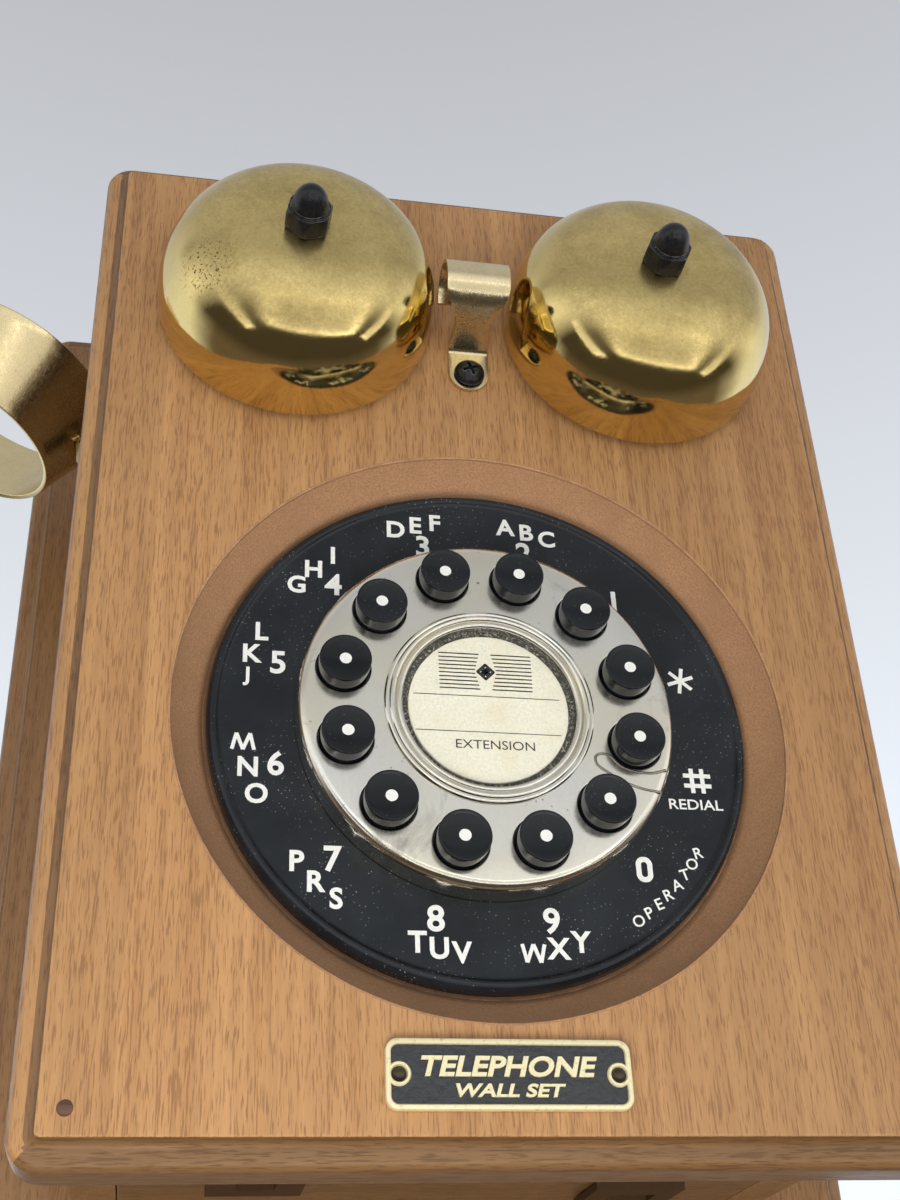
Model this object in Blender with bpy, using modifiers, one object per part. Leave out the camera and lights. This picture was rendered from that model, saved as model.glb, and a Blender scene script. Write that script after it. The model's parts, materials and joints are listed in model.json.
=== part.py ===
"""Wall crank telephone: oak case and backboard, push-key dial, two brass bells, handset hook and crank.

Metres, +Z up, +X to the right, the viewer on the -Y side. The origin is the middle of the backboard's
back face, so the wall is the plane Y = 0 and "out" is a distance from the wall towards the viewer.
"""

import math

import bmesh
import bpy
from mathutils import Matrix, Vector

# Clearance between pieces that touch
GAP = 0.0003
MERGE_DISTANCE = 0.00001

# Sides of round pieces: wide ones, middling ones and small ones
WIDE_ROUND = 40
MIDDLE_ROUND = 28
SMALL_ROUND = 14
TINY_ROUND = 12

# Boards
BACKBOARD_WIDTH = 0.208
BACKBOARD_HEIGHT = 0.284
BACKBOARD_THICK = 0.015
PANEL_WIDTH = 0.169
PANEL_HEIGHT = 0.231
PANEL_THICK = 0.014
PANEL_FACE = 0.111
CASE_WIDTH = 0.152
CASE_HEIGHT = 0.2148
CASE_WALL = 0.009
MOULDING_WIDTH = 0.005
MOULDING_DEPTH = 0.0055
CORNER_RADIUS = 0.006
FACE_CORNER_RADIUS = 0.0010

# Dial
DIAL_Z = -0.029
RECESS_RADIUS = 0.0621
RECESS_DEPTH = 0.008
RING_RADIUS = 0.0552
RING_FACE_DEPTH = 0.0047
RING_INNER_RADIUS = 0.0365
SKIRT_RADIUS = 0.0496
PLATE_RADIUS = 0.038
PLATE_TOP = 0.0023
PLATE_THICK = 0.001
BEZEL_NECK_RADIUS = 0.0187
WINDOW_RADIUS = 0.0176
CARD_RADIUS = 0.0162
KEY_CIRCLE_RADIUS = 0.0299
KEY_RADIUS = 0.00515
KEY_HEIGHT = 0.0063
KEY_FLANGE_RADIUS = 0.006
KEY_TRAVEL = 0.0016
KEY_NAMES = ("hash", "star", "1", "2", "3", "4", "5", "6", "7", "8", "9", "0")
FIRST_KEY_ANGLE = math.radians(-13.5)

# Bells
BELL_RADIUS = 0.031
BELL_HEIGHT = 0.026
BELL_WALL = 0.0012
BELL_LIFT = 0.002
BELL_SPACING = 0.0793
BELL_Z = 0.071
BELL_SQUARENESS = 2.8
POST_RADIUS = 0.0035
STUD_RADIUS = 0.0016
REAR_STUD_RADIUS = 0.002

# Scroll clip and nameplate
CLIP_SCREW_Z = 0.0563
CLIP_FOOT_RADIUS = 0.0045
CLIP_THICK = 0.0009
ROLL_RADIUS = 0.0063
NAMEPLATE_WIDTH = 0.044
NAMEPLATE_HEIGHT = 0.0122
NAMEPLATE_THICK = 0.0016
NAMEPLATE_Z = -0.1004
PIN_SPACING = 0.0392
PLUG_X = 0.075
PLUG_Z = -0.106
PLUG_RADIUS = 0.0014

# Handset hook: a flared open ring on an arm that turns about a pin inside the case
HOOK_PIVOT = Vector((-0.060, -0.061, 0.051))
HOOK_RISE = math.radians(25)
HOOK_RING_REACH = 0.056
HOOK_RING_LOW = -0.010
HOOK_RING_HIGH = 0.0107
HOOK_RING_LOW_RADIUS = 0.0209
HOOK_RING_HIGH_RADIUS = 0.0275
HOOK_RING_THICK = 0.0013
HOOK_RING_OPENING = math.radians(84)
HOOK_ARM_WIDTH = 0.009
HOOK_ARM_THICK = 0.002
HOOK_LEVER = 0.015
HOOK_PIN_RADIUS = 0.0018
PLUNGER_X = -0.0475
PLUNGER_RADIUS = 0.0015
PLUNGER_LOW = 0.0473

# Crank
CRANK_CENTRE = Vector((0, -0.0595, -0.064))
CRANK_SHAFT_RADIUS = 0.004
CRANK_ARM_LENGTH = 0.031
CRANK_ARM_THICK = 0.004
CRANK_ARM_X = 0.0835
KNOB_RADIUS = 0.0085
KNOB_LENGTH = 0.028
KNOB_PIN_RADIUS = 0.0025

# Inside the case and behind the backboard
HANGER_Z = 0.108
HANGER_WIDTH = 0.046
HANGER_HEIGHT = 0.026
HANGER_THICK = 0.0016
HANDSET_JACK = Vector((-0.040, -0.060, 0))
LINE_JACK = Vector((0.040, -0.045, 0))
JACK_BODY = 0.014
JACK_CAVITY_DEPTH = 0.012
CIRCUIT_OUT = 0.0215
CIRCUIT_THICK = 0.0016

COLOURS = {
    "oak": ((0.42, 0.20, 0.075), 0.45, 0.0),
    "brass": ((0.72, 0.52, 0.18), 0.28, 1.0),
    "nickel": ((0.72, 0.69, 0.62), 0.22, 1.0),
    "black_plastic": ((0.012, 0.013, 0.016), 0.28, 0.0),
    "black_steel": ((0.03, 0.03, 0.03), 0.35, 0.8),
    "paper": ((0.80, 0.76, 0.62), 0.8, 0.0),
    "clear_plastic": ((0.9, 0.9, 0.88), 0.05, 0.0),
    "rubber": ((0.10, 0.10, 0.11), 0.8, 0.0),
    "circuit_board": ((0.35, 0.22, 0.08), 0.5, 0.0),
    "steel": ((0.55, 0.55, 0.56), 0.35, 1.0),
    "dark_wood": ((0.10, 0.04, 0.02), 0.5, 0.0),
    "grey_cable": ((0.45, 0.45, 0.46), 0.6, 0.0),
}

FACING_VIEWER = (math.pi / 2, 0, 0)
FACING_RIGHT = (0, math.pi / 2, 0)
FACING_WALL = (-math.pi / 2, 0, 0)


# ---------------------------------------------------------------- tools


def new_collection(name):
    collection = bpy.data.collections.new(name)
    bpy.context.scene.collection.children.link(collection)
    return collection


def make_material(name):
    colour, roughness, metallic = COLOURS[name]
    material = bpy.data.materials.new(name)
    material.use_nodes = True
    shader = material.node_tree.nodes["Principled BSDF"]
    shader.inputs["Base Color"].default_value = (*colour, 1)
    shader.inputs["Roughness"].default_value = roughness
    shader.inputs["Metallic"].default_value = metallic
    return material


def add_part(name, mesh, finish, location=(0, 0, 0), rotation=(0, 0, 0)):
    """A sub-part with a material of its own, in the telephone's collection."""
    part = bpy.data.objects.new(name, mesh)
    mesh.materials.append(make_material(finish))
    part.data.materials[0].name = f"{name}_{finish}"
    part.location = location
    part.rotation_euler = rotation
    bpy.data.collections["wall_crank_telephone"].objects.link(part)
    return part


def add_cutter(name, mesh, location=(0, 0, 0), rotation=(0, 0, 0)):
    cutter = bpy.data.objects.new(name, mesh)
    cutter.location = location
    cutter.rotation_euler = rotation
    cutter.hide_render = True
    cutter.display_type = "WIRE"
    bpy.data.collections["cutters"].objects.link(cutter)
    return cutter


def combine(part, other, operation="DIFFERENCE"):
    """Cuts the other solid from the part, or joins it to the part with UNION."""
    boolean = part.modifiers.new(operation.lower(), "BOOLEAN")
    boolean.operation = operation
    boolean.object = other
    boolean.solver = "EXACT"


def mesh_from(bm, name):
    mesh = bpy.data.meshes.new(name)
    bmesh.ops.recalc_face_normals(bm, faces=bm.faces)
    bm.to_mesh(mesh)
    bm.free()
    return mesh


def add_block(bm, low, high):
    size = Vector(high) - Vector(low)
    centre = (Vector(high) + Vector(low)) / 2
    matrix = Matrix.Translation(centre) @ Matrix.Diagonal((*size, 1))
    bmesh.ops.create_cube(bm, size=1, matrix=matrix)


def add_rod(bm, radius, start, end, segments=SMALL_ROUND, end_radius=None):
    """A cylinder, or a cone where end_radius is given, from one point to another."""
    start = Vector(start)
    end = Vector(end)
    along = end - start
    turn = along.to_track_quat("Z", "Y").to_matrix().to_4x4()
    bmesh.ops.create_cone(
        bm,
        cap_ends=True,
        segments=segments,
        radius1=radius,
        radius2=radius if end_radius is None else end_radius,
        depth=along.length,
        matrix=Matrix.Translation((start + end) / 2) @ turn,
    )


def block_mesh(name, *blocks):
    bm = bmesh.new()
    for low, high in blocks:
        add_block(bm, low, high)
    return mesh_from(bm, name)


def rod_mesh(name, rods, segments=SMALL_ROUND):
    bm = bmesh.new()
    for radius, start, end in rods:
        add_rod(bm, radius, start, end, segments)
    return mesh_from(bm, name)


def drill(part, rods=(), blocks=(), segments=SMALL_ROUND):
    """Cuts round holes and square pockets, given in the same axes as the part's own location."""
    bm = bmesh.new()
    for radius, start, end in rods:
        add_rod(bm, radius, start, end, segments)
    for low, high in blocks:
        add_block(bm, low, high)
    cutter = add_cutter(f"{part.name}_holes_{len(part.modifiers)}", mesh_from(bm, "holes"))
    cutter.location = part.location
    cutter.rotation_euler = part.rotation_euler
    cutter.parent = part.parent
    combine(part, cutter)


def turned_mesh(name, profile):
    """The outline of a turned shape, as (radius, height) points from the top inner one, down the outside."""
    mesh = bpy.data.meshes.new(name)
    on_axis = profile[0][0] == 0
    count = len(profile)
    edges = [(i, i + 1) for i in range(count - 1)]
    if not on_axis:
        edges.append((count - 1, 0))
    mesh.from_pydata([(radius, 0, height) for radius, height in profile], edges, [])
    return mesh


def spin(part, segments):
    screw = part.modifiers.new("turn", "SCREW")
    screw.steps = segments
    screw.render_steps = segments
    screw.use_merge_vertices = True
    screw.merge_threshold = MERGE_DISTANCE
    screw.use_smooth_shade = True


def turned(name, profile, finish, location, rotation=FACING_VIEWER, segments=MIDDLE_ROUND):
    part = add_part(name, turned_mesh(name, profile), finish, location, rotation)
    spin(part, segments)
    return part


def rounded_rectangle(half_width, half_height, radius, corner_steps=4):
    """Points of an upright rectangle with round corners, anticlockwise from the right."""
    points = []
    for corner, (side, top) in enumerate(((1, -1), (1, 1), (-1, 1), (-1, -1))):
        centre_x = side * (half_width - radius)
        centre_z = top * (half_height - radius)
        for step in range(corner_steps + 1):
            angle = math.radians(90 * (corner - 1) + 90 * step / corner_steps)
            points.append((centre_x + radius * math.cos(angle), centre_z + radius * math.sin(angle)))
    return points


def stacked_plate(name, half_width, half_height, sections, finish, location):
    """A plate lofted through (inset, corner radius, out) sections of one rounded rectangle."""
    bm = bmesh.new()
    rings = []
    for inset, radius, out in sections:
        outline = rounded_rectangle(half_width - inset, half_height - inset, radius)
        rings.append([bm.verts.new((x, -out, z)) for x, z in outline])
    bm.faces.new(rings[0])
    bm.faces.new(rings[-1])
    for lower, upper in zip(rings, rings[1:]):
        for i in range(len(lower)):
            j = (i + 1) % len(lower)
            bm.faces.new((lower[i], lower[j], upper[j], upper[i]))
    return add_part(name, mesh_from(bm, name), finish, location)


def moulded_edge(thick):
    """Sections of a board's edge: square, then a round bead, a hollow, and a small step up to the face."""
    edge = thick - MOULDING_DEPTH
    shape = (
        (0.0, 0.0),
        (0.0, edge),
        (0.0006, edge + 0.0015),
        (0.0020, edge + 0.0022),
        (0.0038, edge + 0.0027),
        (MOULDING_WIDTH - 0.0001, edge + 0.0042),
        (MOULDING_WIDTH, thick),
    )
    sections = []
    for inset, out in shape:
        share = inset / MOULDING_WIDTH
        radius = CORNER_RADIUS + (FACE_CORNER_RADIUS - CORNER_RADIUS) * share
        sections.append((inset, radius, out))
    return sections


def strip_mesh(name, path):
    """A thin surface along a path of (half width, position) pairs, to be given a thickness."""
    bm = bmesh.new()
    pairs = []
    for half_width, (y, z) in path:
        pairs.append((bm.verts.new((-half_width, y, z)), bm.verts.new((half_width, y, z))))
    for (left, right), (next_left, next_right) in zip(pairs, pairs[1:]):
        bm.faces.new((left, right, next_right, next_left))
    return mesh_from(bm, name)


def thicken(part, thick, offset=0.0):
    solidify = part.modifiers.new("thickness", "SOLIDIFY")
    solidify.thickness = thick
    solidify.offset = offset


def hexagon_radius(across_flats):
    return across_flats / 2 / math.cos(math.pi / 6)


def on_face(x, z):
    return (x, -PANEL_FACE, z)


# ---------------------------------------------------------------- boards


def make_backboard():
    board = stacked_plate(
        "backboard",
        BACKBOARD_WIDTH / 2,
        BACKBOARD_HEIGHT / 2,
        moulded_edge(BACKBOARD_THICK),
        "oak",
        (0, 0, 0),
    )
    half_width = HANGER_WIDTH / 2 + GAP
    half_height = HANGER_HEIGHT / 2 + GAP
    recess = (
        (-half_width, -HANGER_THICK - 2 * GAP, HANGER_Z - half_height),
        (half_width, 0.001, HANGER_Z + half_height),
    )
    drill(board, blocks=[recess])
    pocket = ((-0.009, -0.010, HANGER_Z - 0.0105), (0.009, 0.001, HANGER_Z + 0.0105))
    drill(board, blocks=[pocket])
    screw_holes = [(0.0014, (x, 0.001, HANGER_Z), (x, -0.0125, HANGER_Z)) for x in (-0.0175, 0.0175)]
    drill(board, screw_holes, segments=TINY_ROUND)


def make_front_panel():
    panel = stacked_plate(
        "front_panel",
        PANEL_WIDTH / 2,
        PANEL_HEIGHT / 2,
        moulded_edge(PANEL_THICK),
        "oak",
        (0, -(PANEL_FACE - PANEL_THICK), 0),
    )
    hollow = [(0, 0.005), (RECESS_RADIUS, 0.005)]
    steps = 4
    bottom_radius = RING_RADIUS + 2 * GAP
    for step in range(steps + 1):
        angle = math.pi / 2 * step / steps
        radius = RECESS_RADIUS - (RECESS_RADIUS - bottom_radius) * (1 - math.cos(angle))
        hollow.append((radius, -RECESS_DEPTH * math.sin(angle)))
    hollow += [(SKIRT_RADIUS + GAP, -RECESS_DEPTH), (SKIRT_RADIUS + GAP, -0.02), (0, -0.02)]
    cutter = add_cutter("dial_hole", turned_mesh("dial_hole", hollow), on_face(0, DIAL_Z), FACING_VIEWER)
    spin(cutter, WIDE_ROUND)
    combine(panel, cutter)
    panel_back = -PANEL_THICK - 0.001
    above = PANEL_THICK + 0.001
    rods = [(REAR_STUD_RADIUS + GAP, (x, 0.001, BELL_Z), (x, -above, BELL_Z)) for x in bell_places()]
    rods.append((0.0017, (0, 0.001, CLIP_SCREW_Z), (0, panel_back, CLIP_SCREW_Z)))
    for x in (-PIN_SPACING / 2, PIN_SPACING / 2):
        rods.append((0.0009, (x, -0.006, NAMEPLATE_Z), (x, panel_back, NAMEPLATE_Z)))
    for x in (-PLUG_X, PLUG_X):
        rods.append((PLUG_RADIUS + GAP, (x, -0.007, PLUG_Z), (x, panel_back, PLUG_Z)))
    drill(panel, rods, segments=TINY_ROUND)


def bell_places():
    return (-BELL_SPACING / 2, BELL_SPACING / 2)


def make_panel_plugs():
    for side, x in (("left", -PLUG_X), ("right", PLUG_X)):
        mesh = rod_mesh("plug", [(PLUG_RADIUS, (x, 0.0065, PLUG_Z), (x, 0.0002, PLUG_Z))], TINY_ROUND)
        add_part(f"panel_plug_{side}", mesh, "dark_wood", on_face(0, 0))


def make_case():
    half_width = CASE_WIDTH / 2
    half_height = CASE_HEIGHT / 2
    back = -(BACKBOARD_THICK + GAP)
    front = -(PANEL_FACE - PANEL_THICK - GAP)
    left = block_mesh(
        "case_left_side",
        ((-half_width, front, -half_height), (-half_width + CASE_WALL, back, half_height)),
    )
    left = add_part("case_left_side", left, "oak")
    right = block_mesh(
        "case_right_side",
        ((half_width - CASE_WALL, front, -half_height), (half_width, back, half_height)),
    )
    right = add_part("case_right_side", right, "oak")
    inner = half_width - CASE_WALL - GAP
    top = block_mesh(
        "case_top",
        ((-inner, front, half_height - CASE_WALL), (inner, back, half_height)),
    )
    add_part("case_top", top, "oak")
    bottom = block_mesh(
        "case_bottom",
        ((-inner, front, -half_height), (inner, back, -half_height + CASE_WALL)),
    )
    bottom = add_part("case_bottom", bottom, "oak")
    slot_half = HOOK_ARM_WIDTH / 2 + 0.0008
    slot = (
        (-half_width - 0.002, HOOK_PIVOT.y - slot_half, 0.0502),
        (-half_width + CASE_WALL + 0.002, HOOK_PIVOT.y + slot_half, 0.0614),
    )
    drill(left, blocks=[slot])
    start = (half_width - CASE_WALL - 0.002, CRANK_CENTRE.y, CRANK_CENTRE.z)
    end = (half_width + 0.002, CRANK_CENTRE.y, CRANK_CENTRE.z)
    drill(right, [(0.008, start, end)], segments=MIDDLE_ROUND)
    hole = JACK_BODY / 2 + GAP
    blocks = []
    for place in (HANDSET_JACK, LINE_JACK):
        low = (place.x - hole, place.y - hole, -half_height - 0.002)
        high = (place.x + hole, place.y + hole, -half_height + CASE_WALL + 0.002)
        blocks.append((low, high))
    drill(bottom, blocks=blocks)


# ---------------------------------------------------------------- dial


def make_number_ring():
    face = -RING_FACE_DEPTH
    underside = face - 0.0022
    seat = -(RECESS_DEPTH - GAP)
    skirt_inner = SKIRT_RADIUS - 0.002
    profile = [
        (RING_INNER_RADIUS, face),
        (0.0531, face),
        (0.0544, face + 0.0007),
        (RING_RADIUS, face - 0.0004),
        (RING_RADIUS, seat),
        (SKIRT_RADIUS, seat),
        (SKIRT_RADIUS, -0.012),
        (skirt_inner, -0.012),
        (skirt_inner, underside),
        (RING_INNER_RADIUS, underside),
    ]
    turned("number_ring", profile, "black_plastic", on_face(0, DIAL_Z), segments=WIDE_ROUND)


def key_places():
    for index, name in enumerate(KEY_NAMES):
        angle = FIRST_KEY_ANGLE + index * math.radians(30)
        yield name, KEY_CIRCLE_RADIUS * math.cos(angle), KEY_CIRCLE_RADIUS * math.sin(angle)


def make_dial_plate():
    under = PLATE_TOP - PLATE_THICK
    rim_low = -(RING_FACE_DEPTH - GAP)
    inner = BEZEL_NECK_RADIUS + GAP
    profile = [
        (inner, PLATE_TOP),
        (PLATE_RADIUS - 0.0028, PLATE_TOP),
        (PLATE_RADIUS - 0.0014, PLATE_TOP - 0.0004),
        (PLATE_RADIUS - 0.0005, PLATE_TOP - 0.0011),
        (PLATE_RADIUS, PLATE_TOP - 0.0022),
        (PLATE_RADIUS, rim_low),
        (PLATE_RADIUS - 0.0008, rim_low),
        (PLATE_RADIUS - 0.0008, under - 0.0004),
        (PLATE_RADIUS - 0.0016, under),
        (inner, under),
    ]
    plate = turned("dial_plate", profile, "nickel", on_face(0, DIAL_Z), segments=WIDE_ROUND)
    rods = []
    for _, x, y in key_places():
        rods.append((KEY_RADIUS + GAP, (x, y, under - 0.001), (x, y, PLATE_TOP + 0.001)))
    drill(plate, rods)


def make_card_holder():
    seat = PLATE_TOP + GAP
    shelf = PLATE_TOP - 0.0017
    shelf_inner = CARD_RADIUS - 0.0006
    profile = [
        (WINDOW_RADIUS, PLATE_TOP + 0.0005),
        (0.0190, PLATE_TOP + 0.0007),
        (0.0202, PLATE_TOP + 0.0012),
        (0.0212, seat),
        (BEZEL_NECK_RADIUS, seat),
        (BEZEL_NECK_RADIUS, shelf - 0.0006),
        (shelf_inner, shelf - 0.0006),
        (shelf_inner, shelf),
        (WINDOW_RADIUS, shelf),
    ]
    turned("card_bezel", profile, "nickel", on_face(0, DIAL_Z))
    card_low = shelf + GAP
    card_high = card_low + 0.0003
    card = [(0, card_high), (CARD_RADIUS, card_high), (CARD_RADIUS, card_low), (0, card_low)]
    turned("name_card", card, "paper", on_face(0, DIAL_Z))
    lens_low = card_high + GAP
    lens_radius = WINDOW_RADIUS - GAP
    lens = [
        (0, lens_low + 0.0009),
        (lens_radius, lens_low + 0.0008),
        (lens_radius, lens_low),
        (0, lens_low),
    ]
    turned("card_lens", lens, "clear_plastic", on_face(0, DIAL_Z))


def make_keys():
    """Push keys, held under the plate by a flange, each with a stem above its rubber dome."""
    flange_top = PLATE_TOP - PLATE_THICK - GAP
    flange_low = flange_top - 0.001
    stem_radius = 0.0025
    stem_low = -0.007
    profile = [
        (0, KEY_HEIGHT - 0.0004),
        (KEY_RADIUS - 0.0004, KEY_HEIGHT),
        (KEY_RADIUS, KEY_HEIGHT - 0.0003),
        (KEY_RADIUS, flange_top),
        (KEY_FLANGE_RADIUS, flange_top),
        (KEY_FLANGE_RADIUS, flange_low),
        (stem_radius, flange_low),
        (stem_radius, stem_low),
        (0, stem_low),
    ]
    for name, x, z in key_places():
        turned(f"key_{name}", profile, "black_plastic", on_face(x, DIAL_Z + z), segments=TINY_ROUND)


def make_keypad():
    """The rubber mat has one dome under each key's pressed stem, and the board lies behind it."""
    mat = [(0, -0.0105), (0.0465, -0.0105), (0.0465, -0.0119), (0, -0.0119)]
    mat = turned("keypad_mat", mat, "rubber", on_face(0, DIAL_Z))
    dome_top = -0.007 - KEY_TRAVEL - GAP
    bm = bmesh.new()
    for _, x, y in key_places():
        add_rod(bm, 0.0042, (x, y, -0.0112), (x, y, dome_top), 8, 0.0032)
    domes = add_cutter("mat_domes", mesh_from(bm, "mat_domes"), on_face(0, DIAL_Z), FACING_VIEWER)
    combine(mat, domes, "UNION")
    board_radius = SKIRT_RADIUS - GAP
    board = [(0, -0.0122), (board_radius, -0.0122), (board_radius, -0.0138), (0, -0.0138)]
    turned("keypad_board", board, "circuit_board", on_face(0, DIAL_Z))


# ---------------------------------------------------------------- bells


def bell_curve(radius, height, steps, hole):
    """Quarter of a squared-off ellipse, from the hole at the crown down to the rim."""
    points = []
    power = 2 / BELL_SQUARENESS
    first = math.acos((hole / radius) ** (1 / power))
    for step in range(steps + 1):
        angle = first * (1 - step / steps)
        points.append((radius * math.cos(angle) ** power, height * math.sin(angle) ** power))
    return points


def make_bells():
    hole = STUD_RADIUS + GAP
    outer = bell_curve(BELL_RADIUS, BELL_HEIGHT, 9, hole)
    inner = bell_curve(BELL_RADIUS - BELL_WALL, BELL_HEIGHT - BELL_WALL, 6, hole)
    profile = [(radius, height + BELL_LIFT) for radius, height in outer + inner[::-1]]
    crown = BELL_LIFT + BELL_HEIGHT
    shoulder = crown - BELL_WALL - GAP
    post = [
        (0, crown + 0.0055),
        (STUD_RADIUS, crown + 0.0055),
        (STUD_RADIUS, shoulder),
        (POST_RADIUS, shoulder),
        (POST_RADIUS, 0.0022),
        (0.0055, 0.0018),
        (0.0055, GAP),
        (REAR_STUD_RADIUS, GAP),
        (REAR_STUD_RADIUS, -0.012),
        (0, -0.012),
    ]
    for side, x in zip(("left", "right"), bell_places()):
        turned(f"bell_{side}", profile, "brass", on_face(x, BELL_Z), segments=WIDE_ROUND)
        turned(f"bell_post_{side}", post, "steel", on_face(x, BELL_Z), segments=TINY_ROUND)
        make_acorn_nut(f"bell_nut_{side}", crown + GAP, on_face(x, BELL_Z), FACING_VIEWER, 0.009, 0.0105)


def make_acorn_nut(name, low, location, rotation, across, height):
    """A hexagon with a round cap, and a blind hole from its underside."""
    hexagon = height * 0.45
    bm = bmesh.new()
    add_rod(bm, hexagon_radius(across), (0, 0, low), (0, 0, low + hexagon), 6)
    nut = add_part(name, mesh_from(bm, name), "black_steel", location, rotation)
    base = across * 0.44
    cap = [(0, low + height)]
    steps = 3
    for step in range(1, steps + 1):
        angle = math.pi / 2 * step / steps
        cap.append((base * math.sin(angle), low + hexagon + (height - hexagon) * math.cos(angle)))
    cap += [(base, low + hexagon * 0.5), (0, low + hexagon * 0.5)]
    cap_solid = add_cutter(f"{name}_cap", turned_mesh(f"{name}_cap", cap), location, rotation)
    spin(cap_solid, SMALL_ROUND)
    combine(nut, cap_solid, "UNION")
    drill(nut, [(STUD_RADIUS + GAP, (0, 0, low - 0.001), (0, 0, low + 0.0062))], segments=TINY_ROUND)
    return nut


def clip_path():
    """The clip's strip from its round foot, off the panel, and round its roll: (half width, (y, z))."""
    low = CLIP_SCREW_Z - CLIP_FOOT_RADIUS
    half = CLIP_THICK / 2 + GAP
    path = []
    for step in range(5):
        angle = math.pi / 2 * (step + 1) / 5
        z = low + CLIP_FOOT_RADIUS * (1 - math.cos(angle))
        path.append((CLIP_FOOT_RADIUS * math.sin(angle), (-half, z)))
    path += [
        (0.0045, (-half, 0.0600)),
        (0.0045, (-half, 0.0624)),
        (0.0045, (-0.0011, 0.0632)),
        (0.0043, (-0.0045, 0.0644)),
        (0.0039, (-0.0079, 0.0655)),
        (0.0047, (-0.0100, 0.0661)),
    ]
    centre_y = -0.0104
    centre_z = 0.0728
    steps = 11
    for step in range(steps + 1):
        angle = math.radians(-107 - 243 * step / steps)
        y = centre_y + ROLL_RADIUS * math.cos(angle)
        z = centre_z + ROLL_RADIUS * math.sin(angle)
        path.append((min(0.0072, 0.0058 + 0.0007 * step), (y, z)))
    return path


def make_clip():
    clip = add_part("scroll_clip", strip_mesh("scroll_clip", clip_path()), "brass", on_face(0, 0))
    thicken(clip, CLIP_THICK)
    drill(clip, [(0.0018, (0, 0.002, CLIP_SCREW_Z), (0, -0.003, CLIP_SCREW_Z))], segments=TINY_ROUND)
    head_low = CLIP_THICK + 2 * GAP
    screw = [
        (0, head_low + 0.0022),
        (0.0017, head_low + 0.0021),
        (0.0029, head_low + 0.0015),
        (0.0035, head_low + 0.0005),
        (0.0035, head_low),
        (0.0014, head_low),
        (0.0014, -0.0115),
        (0, -0.013),
    ]
    screw = turned("clip_screw", screw, "black_steel", on_face(0, CLIP_SCREW_Z), segments=SMALL_ROUND)
    low = head_low + 0.0009
    high = head_low + 0.003
    arm = 0.0018
    half = 0.0004
    drill(screw, blocks=[((-arm, -half, low), (arm, half, high))])
    drill(screw, blocks=[((-half, -arm, low), (half, arm, high))])


def make_nameplate():
    corner = 0.002
    sections = (
        (0.0, corner, GAP),
        (0.0, corner, NAMEPLATE_THICK - 0.0003),
        (0.0003, corner - 0.0003, NAMEPLATE_THICK),
        (0.0008, corner - 0.0006, NAMEPLATE_THICK),
        (0.0010, corner - 0.0007, NAMEPLATE_THICK - 0.0004),
    )
    plate = stacked_plate(
        "nameplate",
        NAMEPLATE_WIDTH / 2,
        NAMEPLATE_HEIGHT / 2,
        sections,
        "black_steel",
        on_face(0, NAMEPLATE_Z),
    )
    ends = (-PIN_SPACING / 2, PIN_SPACING / 2)
    drill(plate, [(0.0009, (x, 0.002, 0), (x, -0.004, 0)) for x in ends], segments=TINY_ROUND)
    head = NAMEPLATE_THICK - 0.0004 + GAP
    pin = [
        (0, head + 0.0006),
        (0.0008, head + 0.0005),
        (0.0013, head),
        (0.0006, head),
        (0.0006, -0.0075),
        (0, -0.0075),
    ]
    for side, x in zip(("left", "right"), ends):
        turned(f"nameplate_pin_{side}", pin, "brass", on_face(x, NAMEPLATE_Z), segments=TINY_ROUND)


# ---------------------------------------------------------------- handset hook


def make_hook():
    pivot = bpy.data.objects.new("hook_pivot", None)
    pivot.location = HOOK_PIVOT
    pivot.rotation_euler = (0, HOOK_RISE, 0)
    bpy.data.collections["wall_crank_telephone"].objects.link(pivot)

    bm = bmesh.new()
    steps = 24
    levels = ((HOOK_RING_LOW, HOOK_RING_LOW_RADIUS), (HOOK_RING_HIGH, HOOK_RING_HIGH_RADIUS))
    rings = []
    for height, radius in levels:
        ring = []
        for step in range(steps + 1):
            angle = (2 * math.pi - HOOK_RING_OPENING) * (step / steps - 0.5)
            x = -HOOK_RING_REACH + radius * math.cos(angle)
            ring.append(bm.verts.new((x, radius * math.sin(angle), height)))
        rings.append(ring)
    for i in range(steps):
        bm.faces.new((rings[0][i], rings[0][i + 1], rings[1][i + 1], rings[1][i]))
    hook = add_part("receiver_hook", mesh_from(bm, "receiver_hook"), "brass")
    hook.parent = pivot
    thicken(hook, HOOK_RING_THICK)

    middle_radius = (HOOK_RING_LOW_RADIUS + HOOK_RING_HIGH_RADIUS) / 2
    half = HOOK_ARM_WIDTH / 2
    bm = bmesh.new()
    low = (-HOOK_RING_REACH + middle_radius - 0.0002, -half, -HOOK_ARM_THICK / 2)
    add_block(bm, low, (HOOK_LEVER, half, HOOK_ARM_THICK / 2))
    arm = add_cutter("hook_arm", mesh_from(bm, "hook_arm"))
    arm.parent = pivot
    combine(hook, arm, "UNION")
    barrel = add_cutter("hook_barrel", rod_mesh("hook_barrel", [(0.0036, (0, -half, 0), (0, half, 0))]))
    barrel.parent = pivot
    combine(hook, barrel, "UNION")
    drill(hook, [(HOOK_PIN_RADIUS + GAP, (0, -0.01, 0), (0, 0.01, 0))])


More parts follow.
